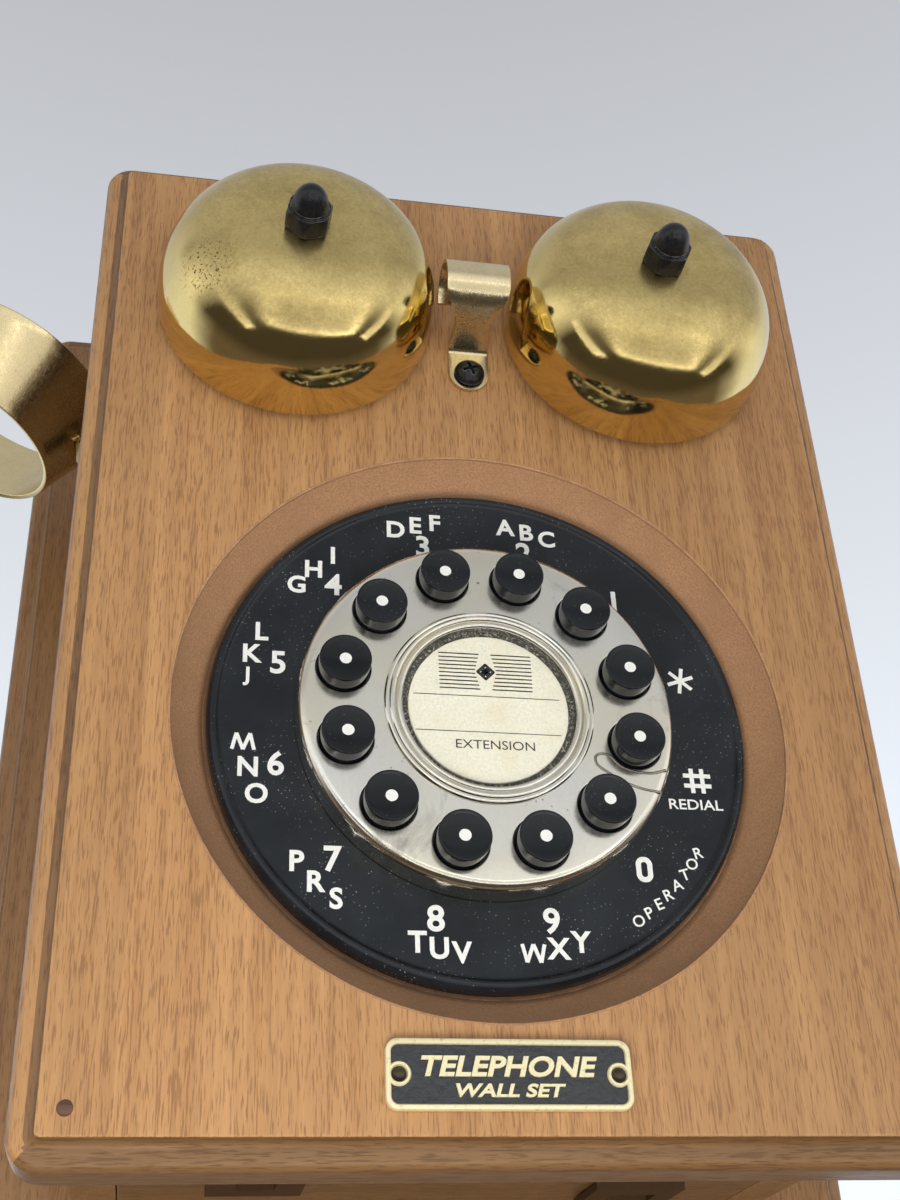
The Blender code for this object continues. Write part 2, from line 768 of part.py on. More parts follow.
def make_hook_bracket():
    x, y, z = HOOK_PIVOT
    wall_inside = -CASE_WIDTH / 2 + CASE_WALL
    base = wall_inside + GAP
    low = z - 0.008
    high = z + 0.021
    outer = block_mesh("hook_bracket", ((base, y - 0.0105, low), (-0.053, y + 0.0105, high)))
    bracket = add_part("hook_bracket", outer, "steel")
    channel = ((base + 0.0015, y - 0.0085, low - 0.001), (-0.050, y + 0.0085, high + 0.001))
    drill(bracket, blocks=[channel])
    window = ((base - 0.001, y - 0.0053, 0.0502), (base + 0.002, y + 0.0053, 0.0565))
    drill(bracket, blocks=[window])
    drill(bracket, [(HOOK_PIN_RADIUS + GAP, (x, y - 0.015, z), (x, y + 0.015, z))], segments=TINY_ROUND)

    bm = bmesh.new()
    add_rod(bm, HOOK_PIN_RADIUS, (x, y - 0.0125, z), (x, y + 0.0111, z), TINY_ROUND)
    pin = add_part("hook_pivot_pin", mesh_from(bm, "hook_pivot_pin"), "steel")
    head = rod_mesh("hook_pin_head", [(0.0032, (x, y - 0.0125, z), (x, y - 0.0108, z))], TINY_ROUND)
    combine(pin, add_cutter("hook_pin_head", head), "UNION")

    coil = bpy.data.curves.new("hook_spring", "CURVE")
    coil.dimensions = "3D"
    coil.bevel_depth = 0.0004
    coil.bevel_resolution = 2
    coil.use_fill_caps = True
    turns = 3
    steps = 8
    spline = coil.splines.new("POLY")
    spline.points.add(turns * steps)
    for i, point in enumerate(spline.points):
        angle = 2 * math.pi * i / steps
        along = y + 0.0053 + 0.0027 * i / (turns * steps)
        point.co = (x + 0.0029 * math.cos(angle), along, z + 0.0029 * math.sin(angle), 1)
    add_part("hook_spring", coil, "steel")


def make_line_switch():
    y = HOOK_PIVOT.y
    base = -CASE_WIDTH / 2 + CASE_WALL + 0.0015 + 2 * GAP
    body = block_mesh("line_switch", ((base, y - 0.0082, 0.0572), (-0.042, y + 0.0082, 0.0702)))
    switch = add_part("line_switch", body, "black_plastic")
    bore = (PLUNGER_RADIUS + GAP, (PLUNGER_X, y, 0.055), (PLUNGER_X, y, 0.067))
    drill(switch, [bore], segments=TINY_ROUND)
    profile = [
        (0, 0.0145),
        (PLUNGER_RADIUS, 0.0145),
        (PLUNGER_RADIUS, 0.0008),
        (0.0008, 0.0),
        (0, 0.0),
    ]
    place = (PLUNGER_X, y, PLUNGER_LOW)
    turned("switch_plunger", profile, "black_plastic", place, (0, 0, 0), segments=TINY_ROUND)


# ---------------------------------------------------------------- crank


def make_crank():
    outside = CASE_WIDTH / 2
    neck = 0.0077
    bore = CRANK_SHAFT_RADIUS + GAP
    bushing = [
        (bore, outside + 0.0042),
        (0.0062, outside + 0.0042),
        (0.0068, outside + 0.0030),
        (0.0125, outside + 0.0024),
        (0.0140, outside + 0.0012),
        (0.0140, outside + GAP),
        (neck, outside + GAP),
        (neck, outside - CASE_WALL - 0.0005),
        (bore, outside - CASE_WALL - 0.0005),
    ]
    turned("crank_bushing", bushing, "brass", CRANK_CENTRE, FACING_RIGHT)
    shaft_end = CRANK_ARM_X + CRANK_ARM_THICK + 0.0055
    shaft = [
        (0, shaft_end),
        (STUD_RADIUS, shaft_end),
        (STUD_RADIUS, CRANK_ARM_X - GAP),
        (CRANK_SHAFT_RADIUS, CRANK_ARM_X - GAP),
        (CRANK_SHAFT_RADIUS, 0.056),
        (0, 0.056),
    ]
    turned("crank_shaft", shaft, "steel", CRANK_CENTRE, FACING_RIGHT, SMALL_ROUND)
    collar = [(bore, 0.0655), (0.0075, 0.0655), (0.0075, 0.0605), (bore, 0.0605)]
    turned("crank_collar", collar, "steel", CRANK_CENTRE, FACING_RIGHT, SMALL_ROUND)
    make_crank_arm()
    nut_low = CRANK_ARM_X + CRANK_ARM_THICK + GAP
    make_acorn_nut("crank_nut", nut_low, CRANK_CENTRE, FACING_RIGHT, 0.009, 0.0095)
    make_crank_knob()


def make_crank_arm():
    """A flat bar, wider at the shaft, whose outline is two arcs joined by straight sides."""
    top_radius = 0.0080
    end_radius = 0.0055
    lean = math.asin((top_radius - end_radius) / CRANK_ARM_LENGTH)
    steps = 9
    bm = bmesh.new()
    outline = []
    for step in range(steps + 1):
        angle = -lean + (math.pi + 2 * lean) * step / steps
        outline.append((top_radius * math.cos(angle), top_radius * math.sin(angle)))
    for step in range(steps + 1):
        angle = math.pi + lean + (math.pi - 2 * lean) * step / steps
        outline.append((end_radius * math.cos(angle), end_radius * math.sin(angle) - CRANK_ARM_LENGTH))
    middle = CRANK_ARM_X + CRANK_ARM_THICK / 2
    bm.faces.new([bm.verts.new((middle, y, z)) for y, z in outline])
    arm = add_part("crank_arm", mesh_from(bm, "crank_arm"), "brass", CRANK_CENTRE)
    thicken(arm, CRANK_ARM_THICK)
    start = CRANK_ARM_X - 0.001
    end = CRANK_ARM_X + CRANK_ARM_THICK + 0.001
    rods = [
        (STUD_RADIUS + GAP, (start, 0, 0), (end, 0, 0)),
        (KNOB_PIN_RADIUS + GAP, (start, 0, -CRANK_ARM_LENGTH), (end, 0, -CRANK_ARM_LENGTH)),
    ]
    drill(arm, rods)


def make_crank_knob():
    place = CRANK_CENTRE - Vector((0, 0, CRANK_ARM_LENGTH))
    low = CRANK_ARM_X + CRANK_ARM_THICK + 3 * GAP
    high = low + KNOB_LENGTH
    bore = KNOB_PIN_RADIUS + GAP
    shape = (
        (0.97, 0.58),
        (0.90, 0.82),
        (0.78, 0.97),
        (0.62, 1.00),
        (0.45, 0.90),
        (0.28, 0.72),
        (0.15, 0.60),
        (0.09, 0.66),
        (0.0, 0.66),
    )
    knob = [(bore, high), (0.42 * KNOB_RADIUS, high)]
    knob += [(radius * KNOB_RADIUS, low + along * KNOB_LENGTH) for along, radius in shape]
    knob.append((bore, low))
    turned("crank_knob", knob, "dark_wood", place, FACING_RIGHT)
    back = CRANK_ARM_X - GAP
    tip = high + GAP
    pin = [
        (0, tip + 0.0012),
        (0.0022, tip + 0.0010),
        (0.0036, tip + 0.0003),
        (0.0036, tip),
        (KNOB_PIN_RADIUS, tip),
        (KNOB_PIN_RADIUS, back),
        (0.0040, back),
        (0.0040, back - 0.0012),
        (0, back - 0.0014),
    ]
    turned("crank_knob_pin", pin, "brass", place, FACING_RIGHT, SMALL_ROUND)


# ---------------------------------------------------------------- inside and behind


def make_jack(name, place, cavity_width):
    bottom = -CASE_HEIGHT / 2
    half = JACK_BODY / 2
    body = block_mesh(
        name,
        (
            (place.x - half, place.y - half, bottom - 0.0008),
            (place.x + half, place.y + half, bottom + 0.0165),
        ),
    )
    jack = add_part(name, body, "black_plastic")
    flange_half = half + 0.0025
    flange = block_mesh(
        f"{name}_flange",
        (
            (place.x - flange_half, place.y - flange_half, bottom - GAP - 0.0016),
            (place.x + flange_half, place.y + flange_half, bottom - GAP),
        ),
    )
    combine(jack, add_cutter(f"{name}_flange", flange), "UNION")
    cavity = (
        (place.x - cavity_width / 2, place.y - 0.0034, bottom - 0.004),
        (place.x + cavity_width / 2, place.y + 0.0034, bottom + JACK_CAVITY_DEPTH),
    )
    drill(jack, blocks=[cavity])


def make_circuit():
    """The line board with its feet and larger parts joined to it, and the sounder that rings."""
    front = -(CIRCUIT_OUT + CIRCUIT_THICK)
    board = block_mesh("line_board", ((-0.045, front, -0.030), (0.035, -CIRCUIT_OUT, 0.030)))
    board = add_part("line_board", board, "circuit_board")
    feet = []
    for x in (-0.041, 0.031):
        for z in (-0.026, 0.026):
            feet.append((0.0030, (x, -(BACKBOARD_THICK + GAP), z), (x, front + 0.0006, z)))
    combine(board, add_cutter("board_feet", rod_mesh("board_feet", feet, TINY_ROUND)), "UNION")
    sunk = front + 0.0006
    blocks = (
        ((-0.030, front - 0.018, -0.020), (-0.008, sunk, 0.004)),
        ((0.000, front - 0.004, -0.018), (0.018, sunk, -0.010)),
        ((0.004, front - 0.011, 0.002), (0.016, sunk, 0.012)),
    )
    combine(board, add_cutter("board_components", block_mesh("board_components", *blocks)), "UNION")
    back = -(BACKBOARD_THICK + GAP)
    place = (-0.030, back, 0.072)
    sounder = [(0, 0.010), (0.0150, 0.010), (0.0160, 0.009), (0.0160, 0.0), (0, 0.0)]
    sounder = turned("ringer_sounder", sounder, "black_plastic", place)
    drill(sounder, [(0.0025, (0, 0, 0.006), (0, 0, 0.012))], segments=TINY_ROUND)


def make_keypad_cable():
    """A flat cable from the keypad board, in one slack bend, to the line board."""
    start = -(PANEL_FACE - 0.0138 - GAP - 0.0004)
    end = -(CIRCUIT_OUT + CIRCUIT_THICK + GAP + 0.0004)
    path = []
    steps = 14
    drop = 0.024
    for step in range(steps + 1):
        share = step / steps
        y = start + (end - start) * (0.5 - 0.5 * math.cos(math.pi * share))
        z = -0.026 - drop * math.sin(math.pi * share) + 0.004 * share
        path.append((0.008, (y, z)))
    cable = add_part("keypad_cable", strip_mesh("keypad_cable", path), "grey_cable")
    cable.location = (0.022, 0, 0)
    thicken(cable, 0.0006)


def make_hanger():
    front = -(HANGER_THICK + GAP)
    half_width = HANGER_WIDTH / 2
    half_height = HANGER_HEIGHT / 2
    mesh = block_mesh(
        "hanging_plate",
        ((-half_width, front, HANGER_Z - half_height), (half_width, -GAP, HANGER_Z + half_height)),
    )
    plate = add_part("hanging_plate", mesh, "steel")
    drill(plate, [(0.0048, (0, 0.001, HANGER_Z - 0.004), (0, -0.004, HANGER_Z - 0.004))])
    slot = 0.0025
    drill(plate, [(slot, (0, 0.001, HANGER_Z + 0.006), (0, -0.004, HANGER_Z + 0.006))])
    neck = slot - 0.0001
    drill(plate, blocks=[((-neck, -0.005, HANGER_Z - 0.003), (neck, 0.002, HANGER_Z + 0.006))])
    places = (-0.0175, 0.0175)
    for radius, depth in ((0.0014, -0.004), (0.0027, -0.0011)):
        rods = [(radius, (x, 0.001, HANGER_Z), (x, depth, HANGER_Z)) for x in places]
        drill(plate, rods, segments=TINY_ROUND)
    screw = [
        (0, -0.0003),
        (0.0024, -0.0003),
        (0.0024, -0.0008),
        (0.0011, -0.0008),
        (0.0011, -0.012),
        (0, -0.012),
    ]
    for side, x in zip(("left", "right"), places):
        turned(f"hanger_screw_{side}", screw, "steel", (x, 0, HANGER_Z), FACING_WALL, TINY_ROUND)


def main():
    for obj in list(bpy.data.objects):
        bpy.data.objects.remove(obj, do_unlink=True)
    new_collection("wall_crank_telephone")
    new_collection("cutters")
    make_backboard()
    make_case()
    make_front_panel()
    make_panel_plugs()
    make_number_ring()
    make_dial_plate()
    make_card_holder()
    make_keys()
    make_keypad()
    make_bells()
    make_clip()
    make_nameplate()
    make_hook()
    make_hook_bracket()
    make_line_switch()
    make_crank()
    make_jack("handset_jack", HANDSET_JACK, 0.0078)
    make_jack("line_jack", LINE_JACK, 0.0098)
    make_circuit()
    make_keypad_cable()
    make_hanger()


main()
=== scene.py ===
import json
import math

import bmesh
import bpy
from bpy.props import FloatProperty, FloatVectorProperty, IntProperty, PointerProperty, StringProperty
from bpy.types import Operator, Panel, PropertyGroup
from mathutils import Matrix, Vector


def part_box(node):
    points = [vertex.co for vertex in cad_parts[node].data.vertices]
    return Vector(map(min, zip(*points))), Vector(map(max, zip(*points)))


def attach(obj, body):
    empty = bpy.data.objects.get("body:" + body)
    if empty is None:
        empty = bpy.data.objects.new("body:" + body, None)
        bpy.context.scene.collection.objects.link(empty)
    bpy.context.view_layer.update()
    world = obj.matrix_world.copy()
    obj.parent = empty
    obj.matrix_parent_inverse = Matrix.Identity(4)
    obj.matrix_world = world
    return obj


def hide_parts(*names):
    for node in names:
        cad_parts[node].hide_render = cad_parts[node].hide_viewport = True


bl_info = {
    "name": "Wall Crank Telephone",
    "version": (1, 0, 0),
    "blender": (4, 5, 0),
    "location": "3D View > Sidebar > Telephone",
    "description": "Finished pieces of an oak wall telephone with push keys, bells and a crank",
    "category": "Object",
}

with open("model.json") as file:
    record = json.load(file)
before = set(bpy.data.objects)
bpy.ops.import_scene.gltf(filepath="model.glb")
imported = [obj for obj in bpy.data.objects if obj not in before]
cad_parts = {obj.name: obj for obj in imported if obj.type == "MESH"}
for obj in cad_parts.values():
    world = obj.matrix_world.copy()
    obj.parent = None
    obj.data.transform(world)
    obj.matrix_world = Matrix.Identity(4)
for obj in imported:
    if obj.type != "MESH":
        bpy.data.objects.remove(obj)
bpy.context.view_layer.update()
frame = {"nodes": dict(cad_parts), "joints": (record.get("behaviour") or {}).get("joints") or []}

# Places and sizes taken from the frame, in metres. "Out" is a distance from the panel towards the viewer.
PANEL_LOW, PANEL_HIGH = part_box("front_panel")
FACE = PANEL_LOW.y
RING_LOW, RING_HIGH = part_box("number_ring")
DIAL_Z = (RING_LOW.z + RING_HIGH.z) / 2
RING_RADIUS = (RING_HIGH.x - RING_LOW.x) / 2
PLATE_LOW, PLATE_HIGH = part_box("dial_plate")
PLATE_RADIUS = (PLATE_HIGH.x - PLATE_LOW.x) / 2
PLATE_TOP = FACE - PLATE_LOW.y
KEY_NAMES = ("hash", "star", "1", "2", "3", "4", "5", "6", "7", "8", "9", "0")

# Shared shapes of the dial, measured out from the panel's face
RECESS_RADIUS = 0.0621
RECESS_DEPTH = 0.008
SKIRT_RADIUS = 0.0496
RING_FACE = -0.0047
RING_INNER = 0.0365
BEZEL_NECK = 0.0190
CARD_TOP = PLATE_TOP - 0.0011
PRINT_THICK = 0.00006
RAISED_THICK = 0.00055
DIGIT_RING = 0.0429
ZERO_RING = 0.0432
LETTER_RING = 0.0483
OPERATOR_RING = 0.0498
PEAKED_WIDTH = 0.0050
KEY_RADIUS = 0.00515
KEY_FLANGE_RADIUS = 0.0060
KEY_STEM_RADIUS = 0.0025
KEY_DISH = 0.00038
BOARD_CORNER = 0.006
BOARD_FACE_CORNER = 0.001
BELL_WALL = 0.0012
BELL_HOLE = 0.0019
NUT_ACROSS = 0.009
NO_PITS = (10.0, 10.0)

VIEWER = Matrix.Rotation(math.pi / 2, 4, "X")
RIGHT = Matrix.Rotation(math.pi / 2, 4, "Y")
FINE = 128
MEDIUM = 64
SMALL = 40


def on_face(x, z, out=0.0):
    """A matrix whose local XY plane lies on the panel's face, with local +Z towards the viewer."""
    return Matrix.Translation((x, FACE - out, z)) @ VIEWER


# ---------------------------------------------------------------- settings


def colour_setting(name, description, default):
    return FloatVectorProperty(
        name=name, description=description, default=default, size=3, min=0, max=1, subtype="COLOR"
    )


def length_setting(name, description, default, low):
    return FloatProperty(name=name, description=description, default=default, min=low, unit="LENGTH")


class TelephoneColours(PropertyGroup):
    """Base colours of the telephone's finishes."""

    oak_light: colour_setting("Light oak", "Pale early wood of the veneer", (0.555, 0.305, 0.128))
    oak_dark: colour_setting("Dark oak", "Dark late wood of the veneer", (0.395, 0.195, 0.076))
    oak_pore: colour_setting("Oak pores", "Stain held in the open pores", (0.200, 0.088, 0.036))
    fibreboard: colour_setting(
        "Fibreboard", "Bare routed board inside the dial recess", (0.440, 0.240, 0.125)
    )
    brass: colour_setting("Brass", "Polished brass of bells, hook and clip", (0.780, 0.610, 0.255))
    tarnish: colour_setting("Tarnish", "Brown film on old brass", (0.330, 0.245, 0.095))
    nickel: colour_setting("Nickel", "Plating of the dial plate and bezel", (0.882, 0.864, 0.800))
    ring_black: colour_setting("Ring black", "Moulded number ring", (0.005, 0.007, 0.010))
    key_black: colour_setting("Key black", "Moulded push keys", (0.004, 0.005, 0.007))
    print_white: colour_setting("Print white", "Numbers, letters and key dots", (0.93, 0.94, 0.92))
    card: colour_setting("Card", "Cream name card", (0.594, 0.581, 0.495))
    gilt: colour_setting("Gilt", "Raised border and letters of the nameplate", (0.930, 0.850, 0.540))


class TelephoneSizes(PropertyGroup):
    """Sizes of the details that the finished pieces add to the plain ones."""

    edge_round: length_setting("Edge round", "Rounding of wooden arrises", 0.0005, 0)
    digit_height: length_setting("Digit height", "Height of the numbers on the ring", 0.0052, 0.001)
    letter_height: length_setting("Letter height", "Height of the letters on the ring", 0.0042, 0.001)
    key_dot: length_setting("Key dot", "Radius of the white dot on a key", 0.00118, 0.0001)
    bell_squareness: FloatProperty(
        name="Bell squareness",
        description="Power of the bell's curve: 2 is an ellipse",
        default=2.8,
        min=2,
        max=6,
    )
    bell_steps: IntProperty(
        name="Bell steps", description="Rings along a bell's curve", default=44, min=8, max=200
    )
    nameplate_text: StringProperty(
        name="Nameplate", description="Raised words on the nameplate", default="TELEPHONE"
    )


class TelephoneLight(PropertyGroup):
    """Camera and light of the stage."""

    lens: FloatProperty(
        name="Lens", description="Focal length in millimetres", default=45.45, min=10, max=200
    )
    camera_place: FloatVectorProperty(
        name="Camera",
        description="Where the camera stands",
        default=(-0.0615, -0.3734, -0.1661),
        subtype="XYZ",
        unit="LENGTH",
    )
    camera_turn: FloatVectorProperty(
        name="Camera turn",
        description="The camera's rotation",
        default=(math.radians(121.2471), math.radians(2.2531), math.radians(-10.4488)),
        subtype="EULER",
        unit="ROTATION",
    )
    window: FloatProperty(
        name="Window", description="Brightness of the large soft window", default=2.6, min=0
    )
    fill: FloatProperty(name="Fill", description="Brightness of the small low light", default=10.0, min=0)


# ---------------------------------------------------------------- node tools


class Nodes:
    """Adds and links the nodes of one tree."""

    def __init__(self, tree):
        self.tree = tree

    def add(self, kind, inputs=None, **settings):
        node = self.tree.nodes.new(kind)
        for name, value in settings.items():
            setattr(node, name, value)
        for name, value in (inputs or {}).items():
            self.feed(node.inputs[name], value)
        return node

    def feed(self, socket, value):
        if isinstance(value, bpy.types.NodeSocket):
            self.tree.links.new(value, socket)
        elif hasattr(value, "__len__") and len(value) == 3 and socket.type == "RGBA":
            socket.default_value = (*value, 1)
        else:
            socket.default_value = value

    def math(self, operation, first, second=0.0, clamp=False):
        node = self.add("ShaderNodeMath", operation=operation, use_clamp=clamp)
        self.feed(node.inputs[0], first)
        self.feed(node.inputs[1], second)
        return node.outputs[0]

    def times(self, first, second, clamp=False):
        return self.math("MULTIPLY", first, second, clamp)

    def plus(self, first, second, clamp=False):
        return self.math("ADD", first, second, clamp)

    def minus(self, first, second):
        return self.math("SUBTRACT", first, second)

    def mix(self, first, second, share, blend="MIX"):
        node = self.add("ShaderNodeMix", data_type="RGBA", blend_type=blend)
        self.feed(node.inputs[0], share)
        self.feed(node.inputs[6], first)
        self.feed(node.inputs[7], second)
        return node.outputs[2]

    def spread(self, value, low, high, to_low=0.0, to_high=1.0):
        """Maps low..high to to_low..to_high, held at both ends."""
        node = self.add("ShaderNodeMapRange")
        for socket, entry in zip(node.inputs, (value, low, high, to_low, to_high)):
            self.feed(socket, entry)
        return node.outputs[0]

    def noise(self, vector, scale, detail=2.0, rough=0.5, bend=0.0):
        inputs = {
            "Vector": vector, "Scale": scale, "Detail": detail, "Roughness": rough, "Distortion": bend
        }
        return self.add("ShaderNodeTexNoise", inputs).outputs["Fac"]

    def cells(self, vector, scale):
        node = self.add("ShaderNodeTexVoronoi", {"Vector": vector, "Scale": scale})
        return node.outputs["Distance"]

    def stretch(self, vector, x, y, z):
        node = self.add("ShaderNodeVectorMath", {0: vector, 1: (x, y, z)}, operation="MULTIPLY")
        return node.outputs[0]

    def split(self, vector):
        return self.add("ShaderNodeSeparateXYZ", {0: vector}).outputs

    def join(self, x, y, z):
        return self.add("ShaderNodeCombineXYZ", {0: x, 1: y, 2: z}).outputs[0]


def make_group(name, inputs, outputs):
    """Makes a shader node group; its inputs are (socket type, name, default)."""
    tree = bpy.data.node_groups.new(name, "ShaderNodeTree")
    kinds = {"value": "NodeSocketFloat", "colour": "NodeSocketColor", "vector": "NodeSocketVector"}
    for kind, label, default in inputs:
        socket = tree.interface.new_socket(label, in_out="INPUT", socket_type=kinds[kind])
        if kind == "value":
            socket.default_value = default
        elif kind == "colour":
            socket.default_value = (*default, 1)
    for kind, label in outputs:
        tree.interface.new_socket(label, in_out="OUTPUT", socket_type=kinds[kind])
    nodes = Nodes(tree)
    source = nodes.add("NodeGroupInput").outputs
    target = nodes.add("NodeGroupOutput").inputs
    return nodes, source, target


def build_oak_grain():
    """Open-pored oak with its grain along Z: staves of uneven tone, figure, fibres and pores."""
    nodes, source, target = make_group(
        "Oak Grain",
        (
            ("vector", "Position", None), ("colour", "Light", (0.5, 0.25, 0.1)),
            ("colour", "Dark", (0.3, 0.13, 0.05)), ("colour", "Pores", (0.1, 0.04, 0.015)),
            ("value", "Pore Amount", 0.70), ("value", "Stave Contrast", 0.25),
        ),
        (("colour", "Colour"), ("value", "Roughness"), ("value", "Height")),
    )
    place = source["Position"]
    x, y, _ = nodes.split(place)
    wander = nodes.noise(nodes.stretch(place, 30, 30, 9), 1.0, 2.0)
    across = nodes.plus(nodes.plus(x, y), nodes.times(wander, 0.0012))
    stave = nodes.add("ShaderNodeTexVoronoi", {"W": across, "Scale": 44.0}, voronoi_dimensions="1D")
    tone = nodes.split(stave.outputs["Color"])[0]
    figure = nodes.noise(nodes.stretch(place, 150, 150, 5), 1.0, 5.0, 0.62, 1.2)
    fibres = nodes.noise(nodes.stretch(place, 1500, 1500, 45), 1.0, 3.0, 0.6)
    bands = nodes.noise(nodes.stretch(place, 420, 420, 14), 1.0, 3.0, 0.55, 0.4)
    body = nodes.plus(nodes.times(figure, 0.55), nodes.times(bands, 0.45))
    body = nodes.spread(body, 0.30, 0.66)
    colour = nodes.mix(source["Dark"], source["Light"], body)
    shade = nodes.times(nodes.minus(tone, 0.5), source["Stave Contrast"])
    shade = nodes.plus(nodes.plus(shade, 0.82), nodes.times(fibres, 0.42))
    colour = nodes.mix(colour, nodes.join(shade, shade, shade), 1.0, "MULTIPLY")
    dashes = nodes.noise(nodes.stretch(place, 3200, 3200, 250), 1.0, 2.0, 0.5)
    crowd = nodes.plus(dashes, nodes.times(nodes.minus(0.5, body), 0.10))
    pores = nodes.times(nodes.spread(crowd, 0.54, 0.64), 0.75)
    rows = nodes.noise(nodes.stretch(place, 2000, 2000, 120), 1.0, 1.0)
    rows = nodes.plus(rows, nodes.times(nodes.minus(0.5, body), 0.08))
    pores = nodes.math("MAXIMUM", pores, nodes.times(nodes.spread(rows, 0.60, 0.68), 0.7))
    pores = nodes.times(pores, source["Pore Amount"])
    nodes.feed(target["Colour"], nodes.mix(colour, source["Pores"], pores))
    sheen = nodes.spread(fibres, 0.3, 0.7, 0.33, 0.45)
    nodes.feed(target["Roughness"], nodes.plus(nodes.times(pores, 0.25), sheen))
    relief = nodes.minus(nodes.times(fibres, 0.25), pores)
    nodes.feed(target["Height"], relief)


def build_edge_wear():
    """A mask of rubbed arrises, broken up so that it comes and goes."""
    nodes, source, target = make_group(
        "Edge Wear",
        (("vector", "Position", None), ("value", "Radius", 0.0008), ("value", "Amount", 0.6)),
        (("value", "Mask"),),
    )
    bevel = nodes.add("ShaderNodeBevel", {"Radius": source["Radius"]}, samples=4)
    normal = nodes.add("ShaderNodeNewGeometry").outputs["Normal"]
    turned = nodes.add("ShaderNodeVectorMath", {0: bevel.outputs[0], 1: normal}, operation="DOT_PRODUCT")
    edge = nodes.spread(turned.outputs["Value"], 0.985, 0.86)
    broken = nodes.spread(nodes.noise(source["Position"], 260.0, 4.0, 0.6), 0.40, 0.62)
    mask = nodes.times(nodes.times(edge, broken), source["Amount"], True)
    nodes.feed(target["Mask"], mask)


def build_dust():
    """Fine settled specks and a thin uneven film."""
    nodes, source, target = make_group(
        "Dust",
        (
            ("vector", "Position", None), ("value", "Scale", 900.0), ("value", "Specks", 0.5),
            ("value", "Film", 0.1),
        ),
        (("value", "Mask"),),
    )
    specks = nodes.spread(nodes.cells(source["Position"], source["Scale"]), 0.17, 0.05)
    patches = nodes.spread(nodes.noise(source["Position"], 70.0, 3.0), 0.38, 0.66)
    specks = nodes.times(nodes.times(specks, patches), source["Specks"])
    film = nodes.times(nodes.noise(source["Position"], 1600.0, 3.0, 0.7), source["Film"])
    nodes.feed(target["Mask"], nodes.plus(specks, nodes.times(film, patches), True))


def build_patina():
    """Cloudy tarnish, small dark freckles and the slow waves of spun metal."""
    nodes, source, target = make_group(
        "Patina",
        (("vector", "Position", None), ("value", "Cloud Scale", 60.0), ("value", "Freckles", 0.5)),
        (("value", "Clouds"), ("value", "Spots"), ("value", "Height")),
    )
    place = source["Position"]
    clouds = nodes.noise(place, source["Cloud Scale"], 6.0, 0.68, 0.3)
    fine = nodes.noise(place, 1300.0, 3.0, 0.7)
    mottle = nodes.plus(nodes.times(clouds, 0.62), nodes.times(fine, 0.38))
    nodes.feed(target["Clouds"], nodes.spread(mottle, 0.36, 0.64))
    spots = nodes.spread(nodes.cells(place, 620.0), 0.20, 0.08)
    sparse = nodes.spread(nodes.noise(place, 130.0, 2.0), 0.56, 0.70)
    spots = nodes.times(spots, sparse)
    nodes.feed(target["Spots"], nodes.times(spots, source["Freckles"], True))
    waves = nodes.noise(place, 70.0, 1.0)
    nodes.feed(target["Height"], nodes.plus(waves, nodes.times(fine, 0.02)))


def build_hairlines():
    """Fine scratches along Z."""
    nodes, source, target = make_group(
        "Hairlines",
        (("vector", "Position", None), ("value", "Fineness", 2600.0)), (("value", "Mask"),),
    )
    stretched = nodes.stretch(source["Position"], 1.0, 1.0, 0.03)
    lines = nodes.noise(stretched, source["Fineness"], 2.0, 0.6)
    nodes.feed(target["Mask"], nodes.spread(lines, 0.3, 0.7))


GROUPS = {
    "Oak Grain": build_oak_grain,
    "Edge Wear": build_edge_wear,
    "Dust": build_dust,
    "Patina": build_patina,
    "Hairlines": build_hairlines,
}


class Finish:
    """A new material: its nodes, its shader, and the place on the telephone as a vector."""

    def __init__(self, name, **shader_values):
        self.material = bpy.data.materials.new(name)
        self.material.use_nodes = True
        self.nodes = Nodes(self.material.node_tree)
        self.shader = self.material.node_tree.nodes["Principled BSDF"]
        self.place = self.nodes.add("ShaderNodeTexCoord").outputs["Object"]
        for label, value in shader_values.items():
            self.nodes.feed(self.shader.inputs[label.replace("_", " ")], value)

    def effect(self, group, **inputs):
        """Places a shared effect, and returns its outputs."""
        if group not in bpy.data.node_groups:
            GROUPS[group]()
        node = self.nodes.add("ShaderNodeGroup", node_tree=bpy.data.node_groups[group])
        self.nodes.feed(node.inputs["Position"], self.place)
        for label, value in inputs.items():
            self.nodes.feed(node.inputs[label.replace("_", " ")], value)
        return node.outputs

    def colour(self, value):
        self.nodes.feed(self.shader.inputs["Base Color"], value)

    def roughness(self, value):
        self.nodes.feed(self.shader.inputs["Roughness"], value)

    def bump(self, height, distance, strength=1.0):
        inputs = {"Height": height, "Distance": distance, "Strength": strength}
        bump = self.nodes.add("ShaderNodeBump", inputs)
        self.nodes.feed(self.shader.inputs["Normal"], bump.outputs[0])


def made_once(build):
    """Keeps one material for each builder and its arguments."""
    kept = {}

    def fetch(*arguments):
        if arguments not in kept:
            kept[arguments] = build(*arguments)
        return kept[arguments]

    return fetch


def colours():
    return bpy.context.scene.telephone_colours


def sizes():
    return bpy.context.scene.telephone_sizes


def scaled(colour, share):
    return [min(1, channel * share) for channel in colour]


# ---------------------------------------------------------------- materials


